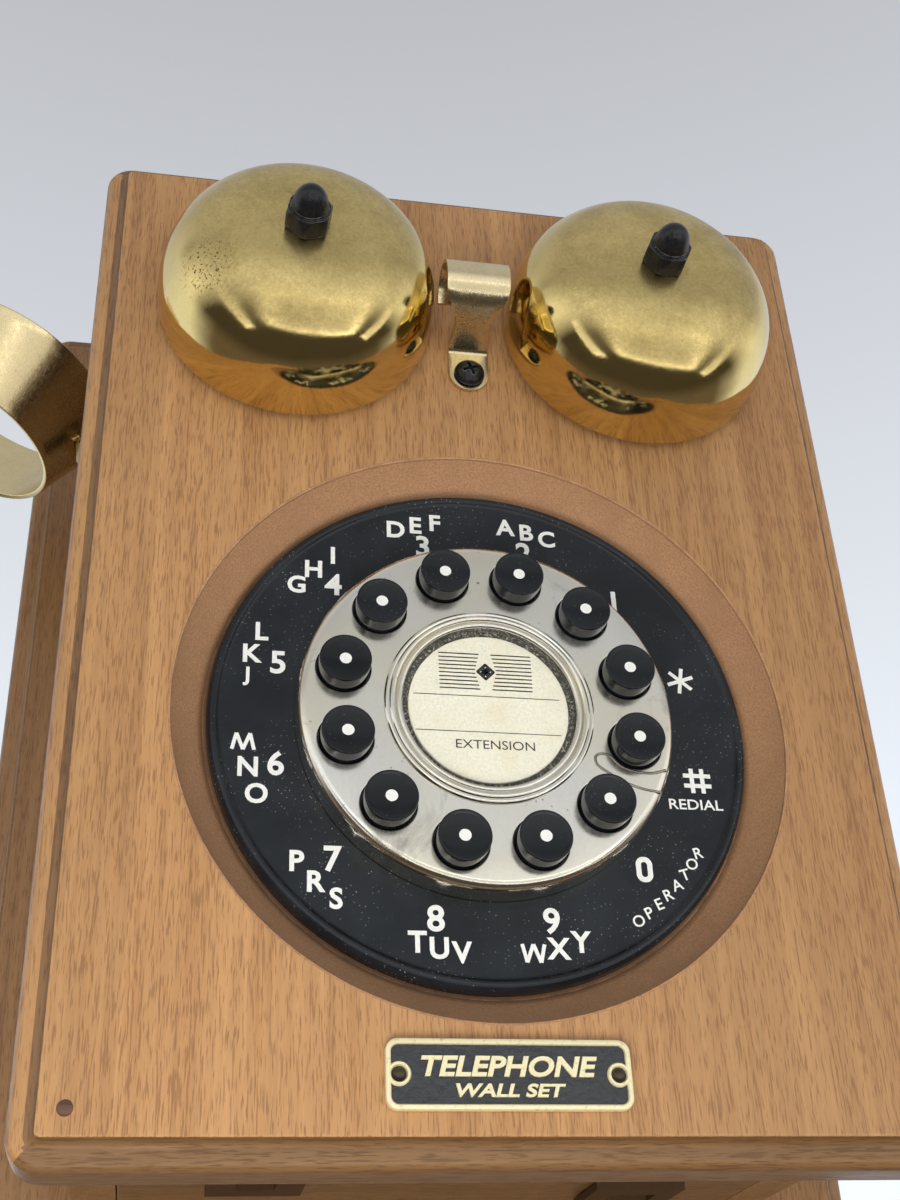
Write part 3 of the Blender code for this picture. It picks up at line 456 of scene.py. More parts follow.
@made_once
def oak(name, turn=(0, 0, 0), depth=1.0, staves=0.22):
    """Satin varnished oak. The turn lays the grain along another axis; a depth below 1 darkens it, and the
    darker copies on the mouldings, hollows and level faces are painted shade. The pale rubbed edges are
    partly real wear and partly a painted highlight.
    """
    finish = Finish(name, Coat_Weight=0.25, Coat_Roughness=0.3, Specular_IOR_Level=0.4)
    nodes = finish.nodes
    if any(turn):
        mapping = nodes.add("ShaderNodeMapping", {"Vector": finish.place, "Rotation": turn})
        finish.place = mapping.outputs[0]
    tint = colours()
    wood = finish.effect(
        "Oak Grain",
        Light=scaled(tint.oak_light, depth),
        Dark=scaled(tint.oak_dark, depth),
        Pores=scaled(tint.oak_pore, depth),
        Stave_Contrast=staves,
    )
    wear = finish.effect("Edge Wear", Radius=0.0007, Amount=0.5)["Mask"]
    # Pale rubbed edges: partly real wear, partly a painted highlight along the arrises and the step.
    pale = [min(1, c * 1.35 * depth + 0.03) for c in tint.oak_light]
    finish.colour(nodes.mix(wood["Colour"], pale, wear))
    finish.roughness(wood["Roughness"])
    finish.bump(wood["Height"], 0.00012, 0.7)
    return finish.material


@made_once
def fibreboard():
    """Bare routed board: brown, speckled and matt, with painted shade at the foot of the recess."""
    finish = Finish("routed_fibreboard", Roughness=0.8)
    nodes = finish.nodes
    speckle = nodes.noise(finish.place, 2600.0, 3.0, 0.7)
    cloud = nodes.noise(finish.place, 120.0, 3.0)
    base = colours().fibreboard
    colour = nodes.mix(scaled(base, 0.72), scaled(base, 1.22), nodes.spread(speckle, 0.32, 0.68))
    colour = nodes.mix(colour, scaled(base, 0.80), nodes.spread(cloud, 0.45, 0.7, 0, 0.5))
    # Painted shade: the colour darkens over the last 0.9 mm of depth, at the foot of the recess.
    y = nodes.split(finish.place)[1]
    foot = nodes.spread(y, FACE + RECESS_DEPTH - 0.0009, FACE + RECESS_DEPTH, 0.0, 0.75)
    colour = nodes.mix(colour, scaled(base, 0.16), foot)
    wear = finish.effect("Edge Wear", Radius=0.0006, Amount=0.9)["Mask"]
    finish.colour(nodes.mix(colour, scaled(base, 1.9), wear))
    finish.bump(speckle, 0.0001, 0.5)
    return finish.material


@made_once
def bell_brass(pits_x, pits_z):
    """Old bell brass: a satin mottled crown, polished walls, and a patch of dark pits at one place."""
    finish = Finish("bell_brass", Metallic=1.0)
    nodes = finish.nodes
    patina = finish.effect("Patina", Cloud_Scale=85.0, Freckles=0.5)
    y = nodes.split(finish.place)[1]
    crown = nodes.spread(y, FACE - 0.0205, FACE - 0.0235)
    tint = colours()
    bright = nodes.mix(tint.brass, scaled(tint.brass, 0.90), patina["Clouds"])
    dulled = nodes.mix(scaled(tint.brass, 0.94), tint.tarnish, nodes.times(patina["Clouds"], 0.75))
    colour = nodes.mix(bright, dulled, crown)
    ends = {0: finish.place, 1: (pits_x, FACE - 0.0215, pits_z)}
    offset = nodes.add("ShaderNodeVectorMath", ends, operation="DISTANCE")
    near = nodes.spread(offset.outputs["Value"], 0.0085, 0.002)
    pits = nodes.spread(nodes.noise(finish.place, 1500.0, 2.0, 0.6), 0.57, 0.64)
    pits = nodes.times(nodes.times(pits, near), 1.1, True)
    spots = nodes.math("MAXIMUM", pits, nodes.times(patina["Spots"], 0.5))
    finish.colour(nodes.mix(colour, scaled(tint.tarnish, 0.22), spots))
    rough = nodes.plus(nodes.spread(crown, 0.0, 1.0, 0.06, 0.25), nodes.times(patina["Clouds"], 0.07))
    finish.roughness(nodes.plus(rough, nodes.times(spots, 0.4)))
    finish.bump(patina["Height"], 0.0009, 0.5)
    return finish.material


@made_once
def brushed_brass(name, fineness, dull, paleness=0.0):
    """Brass sheet with fine brush marks and a little tarnish. Paleness turns it towards nickel."""
    finish = Finish(name, Metallic=1.0)
    nodes = finish.nodes
    patina = finish.effect("Patina", Cloud_Scale=110.0, Freckles=0.4)
    marks = finish.effect("Hairlines", Fineness=fineness)["Mask"]
    tint = colours()
    sheet = Vector(tint.brass).lerp(Vector(tint.nickel), paleness)
    colour = nodes.mix(sheet, tint.tarnish, nodes.times(patina["Clouds"], dull))
    wear = finish.effect("Edge Wear", Radius=0.0005, Amount=0.7)["Mask"]
    colour = nodes.mix(colour, scaled(tint.brass, 1.15), wear)
    finish.colour(nodes.mix(colour, scaled(tint.tarnish, 0.25), patina["Spots"]))
    brushed = nodes.spread(marks, 0, 1, 0.16, 0.27)
    finish.roughness(nodes.plus(brushed, nodes.times(patina["Clouds"], dull * 0.25)))
    finish.bump(marks, 0.00002, 0.4)
    return finish.material


@made_once
def nickel(name, stain):
    """Worn nickel plating: warm where it is thin, cloudy, with grey stains."""
    finish = Finish(name, Metallic=1.0)
    nodes = finish.nodes
    patina = finish.effect("Patina", Cloud_Scale=75.0, Freckles=0.5)
    base = colours().nickel
    warm = (base[0] * 0.97, base[1] * 0.93, base[2] * 0.80)
    colour = nodes.mix(base, warm, nodes.spread(nodes.noise(finish.place, 28.0, 2.0), 0.4, 0.62))
    colour = nodes.mix(colour, scaled(base, 0.86), nodes.times(patina["Clouds"], 0.6))
    clouds = nodes.spread(nodes.noise(finish.place, 52.0, 5.0, 0.7, 0.5), 0.60, 0.76, 0, stain)
    colour = nodes.mix(colour, scaled(base, 0.30), clouds)
    finish.colour(nodes.mix(colour, scaled(base, 0.18), patina["Spots"]))
    rough = nodes.plus(nodes.times(patina["Clouds"], 0.13), 0.13)
    finish.roughness(nodes.plus(rough, nodes.times(clouds, 0.2)))
    finish.bump(patina["Height"], 0.00012, 0.35)
    return finish.material


@made_once
def moulded_black(name, tint_name, rough, specks, film):
    """Glossy moulded plastic under fine dust."""
    finish = Finish(name, Specular_IOR_Level=0.35)
    nodes = finish.nodes
    dust = finish.effect("Dust", Scale=1100.0, Specks=specks, Film=film)["Mask"]
    base = getattr(colours(), tint_name)
    cloud = nodes.spread(nodes.noise(finish.place, 90.0, 3.0), 0.35, 0.65)
    colour = nodes.mix(base, [c * 1.6 + 0.002 for c in base], cloud)
    finish.colour(nodes.mix(colour, (0.42, 0.45, 0.48), dust))
    sheen = nodes.plus(nodes.times(cloud, 0.08), rough)
    finish.roughness(nodes.plus(nodes.times(dust, 0.5), sheen))
    finish.bump(nodes.noise(finish.place, 500.0, 2.0), 0.00003, 0.3)
    return finish.material


@made_once
def print_ink(name, base):
    """Slightly worn ink that lies on another surface."""
    finish = Finish(name, Specular_IOR_Level=0.3)
    nodes = finish.nodes
    worn = nodes.spread(nodes.noise(finish.place, 900.0, 4.0, 0.7), 0.30, 0.52, 0.75, 1.0)
    finish.colour(nodes.mix(scaled(base, 0.55), base, worn))
    finish.roughness(nodes.spread(worn, 0.75, 1.0, 0.6, 0.42))
    return finish.material


@made_once
def card_stock():
    """Cream card with fibres and faint foxing."""
    finish = Finish("cream_card", Roughness=0.85)
    nodes = finish.nodes
    fibres = nodes.noise(finish.place, 1900.0, 3.0, 0.7)
    foxing = nodes.spread(nodes.noise(finish.place, 150.0, 4.0), 0.50, 0.72, 0, 0.35)
    base = colours().card
    colour = nodes.mix(scaled(base, 0.86), base, nodes.spread(fibres, 0.34, 0.56))
    finish.colour(nodes.mix(colour, (0.52, 0.44, 0.28), foxing))
    finish.bump(fibres, 0.00003, 0.4)
    return finish.material


@made_once
def shaded_groove():
    """Dark painted shade with pale specks in the groove round the card, standing in for the shadow of the
    window's wall.
    """
    finish = Finish("painted_shade_groove", Roughness=0.6, Metallic=0.25)
    nodes = finish.nodes
    specks = nodes.spread(nodes.noise(finish.place, 2300.0, 3.0, 0.7), 0.52, 0.66)
    finish.colour(nodes.mix((0.040, 0.038, 0.032), (0.42, 0.40, 0.33), specks))
    finish.bump(specks, 0.00005, 0.5)
    return finish.material


@made_once
def clear_plastic():
    """Clear window over the card."""
    finish = Finish(
        "clear_window", Base_Color=(0.96, 0.96, 0.94), Transmission_Weight=1.0, IOR=1.2, Metallic=0.0
    )
    nodes = finish.nodes
    haze = finish.effect("Hairlines", Fineness=900.0)["Mask"]
    finish.roughness(nodes.spread(haze, 0, 1, 0.02, 0.07))
    return finish.material


@made_once
def coated_metal(name, base, metallic, rough, edge):
    """Blackened, plated or bare steel: uneven sheen, and a brighter rubbed edge."""
    finish = Finish(name, Metallic=metallic)
    nodes = finish.nodes
    uneven = nodes.noise(finish.place, 420.0, 4.0, 0.65)
    wear = finish.effect("Edge Wear", Radius=0.0004, Amount=0.8)["Mask"]
    dust = finish.effect("Dust", Scale=1500.0, Specks=0.25, Film=0.12)["Mask"]
    colour = nodes.mix(scaled(base, 0.75), scaled(base, 1.25), nodes.spread(uneven, 0.35, 0.65))
    colour = nodes.mix(colour, edge, wear)
    finish.colour(nodes.mix(colour, (0.34, 0.32, 0.28), nodes.times(dust, 0.4)))
    finish.roughness(nodes.spread(uneven, 0.3, 0.7, rough - 0.06, rough + 0.12))
    finish.bump(uneven, 0.00005, 0.5)
    return finish.material


@made_once
def enamel():
    """Glossy black enamel, with the ripple of a brushed coat."""
    finish = Finish("nameplate_enamel", Coat_Weight=0.5, Coat_Roughness=0.08)
    nodes = finish.nodes
    ripple = nodes.noise(finish.place, 650.0, 3.0, 0.6)
    dust = finish.effect("Dust", Scale=1700.0, Specks=0.4, Film=0.015)["Mask"]
    finish.colour(nodes.mix((0.010, 0.012, 0.016), (0.30, 0.31, 0.33), dust))
    finish.roughness(nodes.spread(ripple, 0.3, 0.7, 0.14, 0.30))
    finish.bump(ripple, 0.0004, 0.8)
    return finish.material


@made_once
def gilt():
    """Pale gilt paint over raised edges, rubbed darker in places."""
    finish = Finish("gilt_paint", Metallic=0.35, Roughness=0.42)
    nodes = finish.nodes
    rubbed = nodes.spread(nodes.noise(finish.place, 800.0, 4.0, 0.7), 0.55, 0.72, 0, 0.65)
    base = colours().gilt
    finish.colour(nodes.mix(base, scaled(base, 0.45), rubbed))
    finish.bump(rubbed, 0.00004, 0.4)
    return finish.material


@made_once
def plain_board(name, base, speck, rough):
    """Rubber, laminate or cable: an even body colour with fine specks and slight sheen changes."""
    finish = Finish(name)
    nodes = finish.nodes
    fine = nodes.noise(finish.place, 1500.0, 3.0, 0.7)
    broad = nodes.noise(finish.place, 60.0, 3.0)
    colour = nodes.mix(base, speck, nodes.spread(fine, 0.52, 0.70, 0, 0.6))
    finish.colour(nodes.mix(colour, scaled(base, 0.7), nodes.spread(broad, 0.45, 0.7, 0, 0.5)))
    finish.roughness(nodes.spread(fine, 0.3, 0.7, rough - 0.08, rough + 0.08))
    finish.bump(fine, 0.00005, 0.4)
    return finish.material


@made_once
def stained_wood(name, depth):
    """Dark turned hardwood with fine grain along X."""
    finish = Finish(name, Coat_Weight=0.5, Coat_Roughness=0.18)
    nodes = finish.nodes
    grain = nodes.noise(nodes.stretch(finish.place, 60, 900, 900), 1.0, 4.0, 0.6, 0.4)
    light = scaled((0.26, 0.10, 0.045), depth)
    dark = scaled((0.09, 0.030, 0.013), depth)
    colour = nodes.mix(dark, light, nodes.spread(grain, 0.35, 0.65))
    wear = finish.effect("Edge Wear", Radius=0.0006, Amount=0.5)["Mask"]
    finish.colour(nodes.mix(colour, scaled(light, 1.7), wear))
    finish.roughness(nodes.spread(grain, 0.3, 0.7, 0.30, 0.42))
    finish.bump(grain, 0.00006, 0.5)
    return finish.material


@made_once
def paper_backdrop():
    """Plain pale studio paper."""
    finish = Finish("pale_paper", Roughness=0.9)
    nodes = finish.nodes
    shade = nodes.spread(nodes.noise(finish.place, 2.0, 2.0), 0.3, 0.7)
    finish.colour(nodes.mix((0.70, 0.71, 0.73), (0.76, 0.77, 0.79), shade))
    return finish.material


def black_steel():
    return coated_metal("black_steel", (0.022, 0.023, 0.027), 0.6, 0.26, (0.30, 0.30, 0.31))


def plated_steel():
    return coated_metal("plated_steel", (0.55, 0.55, 0.56), 1.0, 0.34, (0.72, 0.72, 0.72))


def matte_black():
    return moulded_black("dark_moulding", "key_black", 0.248, 0.200, 0.100)


# ---------------------------------------------------------------- mesh tools


def rounded(corners, steps=4):
    """Replaces every (u, v, size) corner of an open outline by a curve that starts size away from it."""
    points = []
    count = len(corners)
    for i, corner in enumerate(corners):
        here = Vector(corner[:2])
        size = corner[2] if len(corner) > 2 else 0
        if size == 0 or i in (0, count - 1):
            points.append(tuple(here))
            continue
        back = Vector(corners[i - 1][:2]) - here
        ahead = Vector(corners[i + 1][:2]) - here
        start = here + back.normalized() * min(size, back.length * 0.49)
        end = here + ahead.normalized() * min(size, ahead.length * 0.49)
        for step in range(steps + 1):
            t = step / steps
            points.append(tuple(start * (1 - t) ** 2 + here * 2 * t * (1 - t) + end * t**2))
    return points


def arc(centre, radius, start, end, steps, height=None):
    """Points of a round or elliptic arc between two angles in degrees."""
    height = radius if height is None else height
    turns = [math.radians(start + (end - start) * i / steps) for i in range(steps + 1)]
    return [(centre[0] + radius * math.cos(t), centre[1] + height * math.sin(t)) for t in turns]


def lathe(bm, profile, segments, matrix=None, closed=True, finish_of=None):
    """Turns (radius, height) points about local Z. finish_of picks a face's material from its middle."""
    matrix = matrix or Matrix()
    rings = []
    for radius, height in profile:
        if radius < 1e-7:
            rings.append([bm.verts.new(matrix @ Vector((0, 0, height)))])
            continue
        ring = []
        for i in range(segments):
            angle = 2 * math.pi * i / segments
            ring.append(
                bm.verts.new(matrix @ Vector((radius * math.cos(angle), radius * math.sin(angle), height)))
            )
        rings.append(ring)
    pairs = list(zip(range(len(rings) - 1), range(1, len(rings))))
    if closed and len(rings[0]) > 1 and len(rings[-1]) > 1:
        pairs.append((len(rings) - 1, 0))
    for a, b in pairs:
        if len(rings[a]) == 1 and len(rings[b]) == 1:
            continue
        middle = [(profile[a][k] + profile[b][k]) / 2 for k in (0, 1)]
        finish = finish_of(*middle) if finish_of else 0
        for i in range(segments):
            j = (i + 1) % segments
            corners = [rings[a][i % len(rings[a])], rings[a][j % len(rings[a])]]
            corners += [rings[b][j % len(rings[b])], rings[b][i % len(rings[b])]]
            face = bm.faces.new(list(dict.fromkeys(corners)))
            face.material_index = finish
    return rings


def loft(bm, rings, finish_of=None):
    """Joins closed rings of vertices in order."""
    for first, second in zip(rings, rings[1:]):
        for i in range(len(first)):
            j = (i + 1) % len(first)
            face = bm.faces.new((first[i], first[j], second[j], second[i]))
            if finish_of:
                face.material_index = finish_of(face.calc_center_median())


def ring_of(bm, points, matrix=None):
    matrix = matrix or Matrix()
    return [bm.verts.new(matrix @ Vector(point)) for point in points]


def circle(radius, count, height=0.0, centre=(0, 0)):
    turns = [2 * math.pi * i / count for i in range(count)]
    return [(centre[0] + radius * math.cos(t), centre[1] + radius * math.sin(t), height) for t in turns]


def rounded_rectangle(half_width, half_height, radius, steps=8):
    """Points of an upright rectangle with round corners, anticlockwise from the right."""
    points = []
    for corner, (side, top) in enumerate(((1, -1), (1, 1), (-1, 1), (-1, -1))):
        centre = (side * (half_width - radius), top * (half_height - radius))
        start = 90 * (corner - 1)
        points += arc(centre, radius, start, start + 90, steps)
    return points


def fill(bm, *rings, finish=0):
    """Fills the flat area between one outer ring and any rings inside it."""
    edges = []
    for ring in rings:
        for i, vert in enumerate(ring):
            ahead = ring[(i + 1) % len(ring)]
            edges.append(bm.edges.get((vert, ahead)) or bm.edges.new((vert, ahead)))
    made = bmesh.ops.triangle_fill(bm, edges=edges, use_beauty=True)
    for face in made["geom"]:
        if isinstance(face, bmesh.types.BMFace):
            face.material_index = finish


def add_bar(bm, start, end, width, thick, matrix):
    """A thin flat bar between two points of the local XY plane."""
    start = Vector((*start, 0))
    end = Vector((*end, 0))
    along = end - start
    turn = Matrix.Rotation(math.atan2(along.y, along.x), 4, "Z")
    size = Matrix.Diagonal((along.length, width, thick, 1))
    middle = Matrix.Translation((start + end) / 2)
    bmesh.ops.create_cube(bm, size=1, matrix=matrix @ middle @ turn @ size)


def mesh_of_curve(curve):
    carrier = bpy.data.objects.new(curve.name, curve)
    bpy.context.scene.collection.objects.link(carrier)
    bpy.context.view_layer.update()
    mesh = bpy.data.meshes.new_from_object(carrier.evaluated_get(bpy.context.evaluated_depsgraph_get()))
    bpy.data.objects.remove(carrier)
    return mesh


def add_letters(bm, text, height, thick, matrix, width=None, weight=0.0, slant=0.0):
    """Characters whose middle is at the matrix's origin, height tall, and width wide where one is given."""
    curve = bpy.data.curves.new("letters", "FONT")
    curve.body = text
    curve.extrude = 0.5
    curve.offset = weight
    curve.shear = slant
    curve.resolution_u = 4
    mesh = mesh_of_curve(curve)
    spread = [[vert.co[k] for vert in mesh.vertices] for k in (0, 1)]
    low = [min(values) for values in spread]
    high = [max(values) for values in spread]
    tall = height / (high[1] - low[1])
    wide = tall if width is None else width / (high[0] - low[0])
    middle = Matrix.Translation((-(low[0] + high[0]) / 2, -(low[1] + high[1]) / 2, 0))
    mesh.transform(matrix @ Matrix.Diagonal((wide, tall, thick, 1)) @ middle)
    bm.from_mesh(mesh)
    bpy.data.meshes.remove(mesh)


def add_zero(bm, matrix, height, stroke=0.00105):
    """An upright zero with straight sides."""
    half_width = height * 0.32
    rings = []
    for inset, level in ((0, -0.5), (0, 0.5), (stroke, 0.5), (stroke, -0.5), (0, -0.5)):
        outline = rounded_rectangle(half_width - inset, height / 2 - inset, (half_width - inset) * 0.94)
        rings.append(ring_of(bm, [(x, y, level * PRINT_THICK) for x, y in outline], matrix))
    loft(bm, rings)


def add_peaks(bm, matrix, height, width, turned, stroke=0.00072):
    """An M with splayed legs, or a W where it is turned over."""
    tall = (stroke - height) / 2 if turned else (height - stroke) / 2
    half = (width - stroke) / 2
    path = [(-half, -tall), (-half * 0.62, tall), (0, -tall), (half * 0.62, tall), (half, -tall)]
    for index, (start, end) in enumerate(zip(path, path[1:])):
        add_bar(bm, start, end, stroke, PRINT_THICK * (1 + index * 0.15), matrix)


def finish_piece(bm, name, materials, body, slot, replaced=(), sharp=32):
    """Turns the mesh in hand into a finished piece that rides on a body."""
    bmesh.ops.remove_doubles(bm, verts=bm.verts, dist=1e-7)
    bmesh.ops.recalc_face_normals(bm, faces=bm.faces)
    mesh = bpy.data.meshes.new(name)
    bm.to_mesh(mesh)
    bm.free()
    mesh.shade_smooth()
    mesh.set_sharp_from_angle(angle=math.radians(sharp))
    for material in materials:
        mesh.materials.append(material)
    piece = bpy.data.objects.new(name, mesh)
    bpy.context.scene.collection.objects.link(piece)
    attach(piece, body)
    if replaced:
        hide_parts(*replaced)
    return piece


def turn_piece(profile, segments, place, *piece):
    """Makes a finished piece by turning an outline about one axis."""
    bm = bmesh.new()
    lathe(bm, profile, segments, place)
    return finish_piece(bm, *piece)


def soften_edges(piece, width, segments=3, angle=40):
    bevel = piece.modifiers.new("soft edges", "BEVEL")
    bevel.width = width
    bevel.segments = segments
    bevel.limit_method = "ANGLE"
    bevel.angle_limit = math.radians(angle)


def dress(node, material, edge=0.0):
    """Gives a plain node its finish, and rounds its edges where a width is given."""
    piece = frame["nodes"][node]
    piece.data.materials.clear()
    piece.data.materials.append(material)
    if edge:
        soften_edges(piece, edge)
    return piece


# ---------------------------------------------------------------- boards


def moulded_sections(thick):
    """(inset, corner radius, out) of a board's edge: square side, quarter round, hollow and step."""
    edge = thick - 0.0055
    shape = [(0.0, 0.0), (0.0, edge * 0.5)]
    shape += arc((0.0023, edge), 0.0023, 180, 90, 7)
    shape += [(0.0030, edge + 0.00245)]
    shape += arc((0.0034, edge + 0.0044), 0.0014, -90, 0, 5, 0.0019)
    shape += rounded([(0.0048, edge + 0.0046), (0.0049, thick, 0.00045), (0.0056, thick)], 3)
    sections = []
    for inset, out in shape:
        share = min(1, inset / 0.005)
        sections.append((inset, BOARD_CORNER + (BOARD_FACE_CORNER - BOARD_CORNER) * share, out))
    return sections


def board_rings(bm, half_width, half_height, thick, back_y):
    rings = []
    for inset, radius, out in moulded_sections(thick):
        outline = rounded_rectangle(half_width - inset, half_height - inset, max(0.0006, radius))
        rings.append([bm.verts.new((x, back_y - out, z)) for x, z in outline])
    return rings


class TELEPHONE_OT_backboard(Operator):
    """Makes the moulded backboard and finishes the case that stands on it"""

    bl_idname = "telephone.make_backboard"
    bl_label = "Backboard and Case"

    def execute(self, context):
        low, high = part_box("backboard")
        upright = oak("dark_oak_upright", (0, 0, 0), 0.62, 0.15)
        # The level faces take a darker copy of the oak than the upright ones: painted shade.
        level = oak("dark_oak_level", (0, math.pi / 2, 0), 0.42, 0.0)
        bm = bmesh.new()
        half_width = (high.x - low.x) / 2
        half_height = (high.z - low.z) / 2
        rings = board_rings(bm, half_width, half_height, high.y - low.y, high.y)
        loft(bm, rings, lambda middle: 0 if abs(middle.x) > half_width - 0.0052 else 1)
        fill(bm, rings[-1])
        plate_low, plate_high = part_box("hanging_plate")
        margin = 0.0003
        pocket = [
            (side * (plate_high.x + margin), z)
            for side, z in ((1, plate_low.z), (1, plate_high.z), (-1, plate_high.z), (-1, plate_low.z))
        ]
        depths = (high.y, high.y - 0.0022)
        mouth = [[bm.verts.new((x, y, z)) for x, z in pocket] for y in depths]
        loft(bm, mouth)
        well = [(side * 0.009, z) for side, z in ((1, 0.0975), (1, 0.1185), (-1, 0.1185), (-1, 0.0975))]
        well_rings = [[bm.verts.new((x, y, z)) for x, z in well] for y in (depths[1], high.y - 0.010)]
        loft(bm, well_rings)
        fill(bm, well_rings[1])
        fill(bm, mouth[1], well_rings[0])
        fill(bm, rings[0], mouth[0])
        finish_piece(bm, "oak_backboard", [upright, level], "telephone", "oak", ["backboard"])
        width = sizes().edge_round
        for node in ("case_left_side", "case_right_side"):
            dress(node, upright, width)
        for node in ("case_top", "case_bottom"):
            dress(node, level, width)
        return {"FINISHED"}


class TELEPHONE_OT_front_panel(Operator):
    """Makes the veneered front panel, its moulding, the routed dial recess and the pin plugs"""

    bl_idname = "telephone.make_front_panel"
    bl_label = "Front Panel"

    def execute(self, context):
        veneer = oak("veneered_oak", (0, 0, 0), 1.0, 0.26)
        upright = oak("moulding_upright", (0.02, 0, 0), 1.0, 0.0)
        # The level moulding is a darker copy of the upright moulding: painted shade on the top and bottom
        # mouldings.
        level = oak("moulding_level", (0, math.pi / 2, 0), 0.44, 0.0)
        board = fibreboard()
        half_width = (PANEL_HIGH.x - PANEL_LOW.x) / 2
        half_height = (PANEL_HIGH.z - PANEL_LOW.z) / 2
        thick = PANEL_HIGH.y - PANEL_LOW.y
        bm = bmesh.new()
        rings = board_rings(bm, half_width, half_height, thick, PANEL_HIGH.y)
        hollow = (0.0031, 0.00495)

        # Faces in the moulding's hollow and on its square outer side take darker copies of the oak: painted
        # shade.
        def moulding_of(middle):
            if FACE - middle.y > -0.0002:
                return 0
            insets = (half_width - abs(middle.x), half_height - abs(middle.z))
            finish = 1 if insets[0] < insets[1] else 2
            dark = min(insets) < 0.0002 or hollow[0] < min(insets) < hollow[1]
            return finish + 3 if dark else finish

        loft(bm, rings, moulding_of)
        floor_radius = RING_RADIUS + 0.0006
        cove = rounded(
            [(RECESS_RADIUS + 0.0005, 0.0), (RECESS_RADIUS, 0.0, 0.0003), (RECESS_RADIUS, -0.0008)], 3
        )
        for step in range(1, 15):
            t = step / 14
            sunk = 0.0008 + (RECESS_DEPTH - 0.0008) * (t + 0.40 * t * (1 - t))
            cove.append((RECESS_RADIUS + (floor_radius - RECESS_RADIUS) * t, -sunk))
        cove += [(SKIRT_RADIUS + 0.0003, -RECESS_DEPTH), (SKIRT_RADIUS + 0.0003, -thick)]
        recess = lathe(bm, cove, FINE, on_face(0, DIAL_Z), closed=False, finish_of=lambda r, h: 3)
        fill(bm, rings[-1], recess[0])
        fill(bm, rings[0], recess[-1], finish=3)
        # Darker oak for the hollow and the outer side: painted shade.
        painted_shade_finishes = [
            oak("hollow_upright", (0.02, 0, 0), 0.48, 0.0),
            oak("hollow_level", (0, math.pi / 2, 0), 0.42, 0.0),
        ]
        materials = [veneer, upright, level, board, *painted_shade_finishes]
        finish_piece(bm, "oak_front_panel", materials, "telephone", "oak", ["front_panel"])
        plug_wood = stained_wood("plug_wood", 0.55)
        for side in ("left", "right"):
            low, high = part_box(f"panel_plug_{side}")
            centre = (low + high) / 2
            radius = (high.x - low.x) / 2
            profile = rounded([(0, 0.00022), (radius, 0.00016, 0.0003), (radius, -0.006), (0, -0.006)])
            turn_piece(
                profile,
                SMALL,
                on_face(centre.x, centre.z),
                f"pin_plug_{side}",
                [plug_wood],
                "telephone",
                "dark_wood",
                [f"panel_plug_{side}"],
            )
        return {"FINISHED"}


# ---------------------------------------------------------------- dial


# Letters beside each number, with their angles on the ring in degrees
RING_LETTERS = {
    "2": zip("ABC", (81.2, 75.5, 70.0)),
    "3": zip("DEF", (110.4, 105.0, 99.8)),
    "4": zip("GHI", (141.8, 135.5, 129.0)),
    "5": zip("JKL", (170.9, 164.5, 158.0)),
    "6": zip("MNO", (188.0, 194.4, 201.3)),
    "7": zip("PRS", (219.8, 226.2, 232.0)),
    "8": zip("TUV", (252.3, 257.3, 262.4)),
    "9": zip("WXY", (278.6, 284.5, 290.0)),
}


def on_ring(radius, degrees, turn=0.0):
    angle = math.radians(degrees)
    place = on_face(radius * math.cos(angle), DIAL_Z + radius * math.sin(angle), RING_FACE)
    return place @ Matrix.Rotation(turn, 4, "Z")


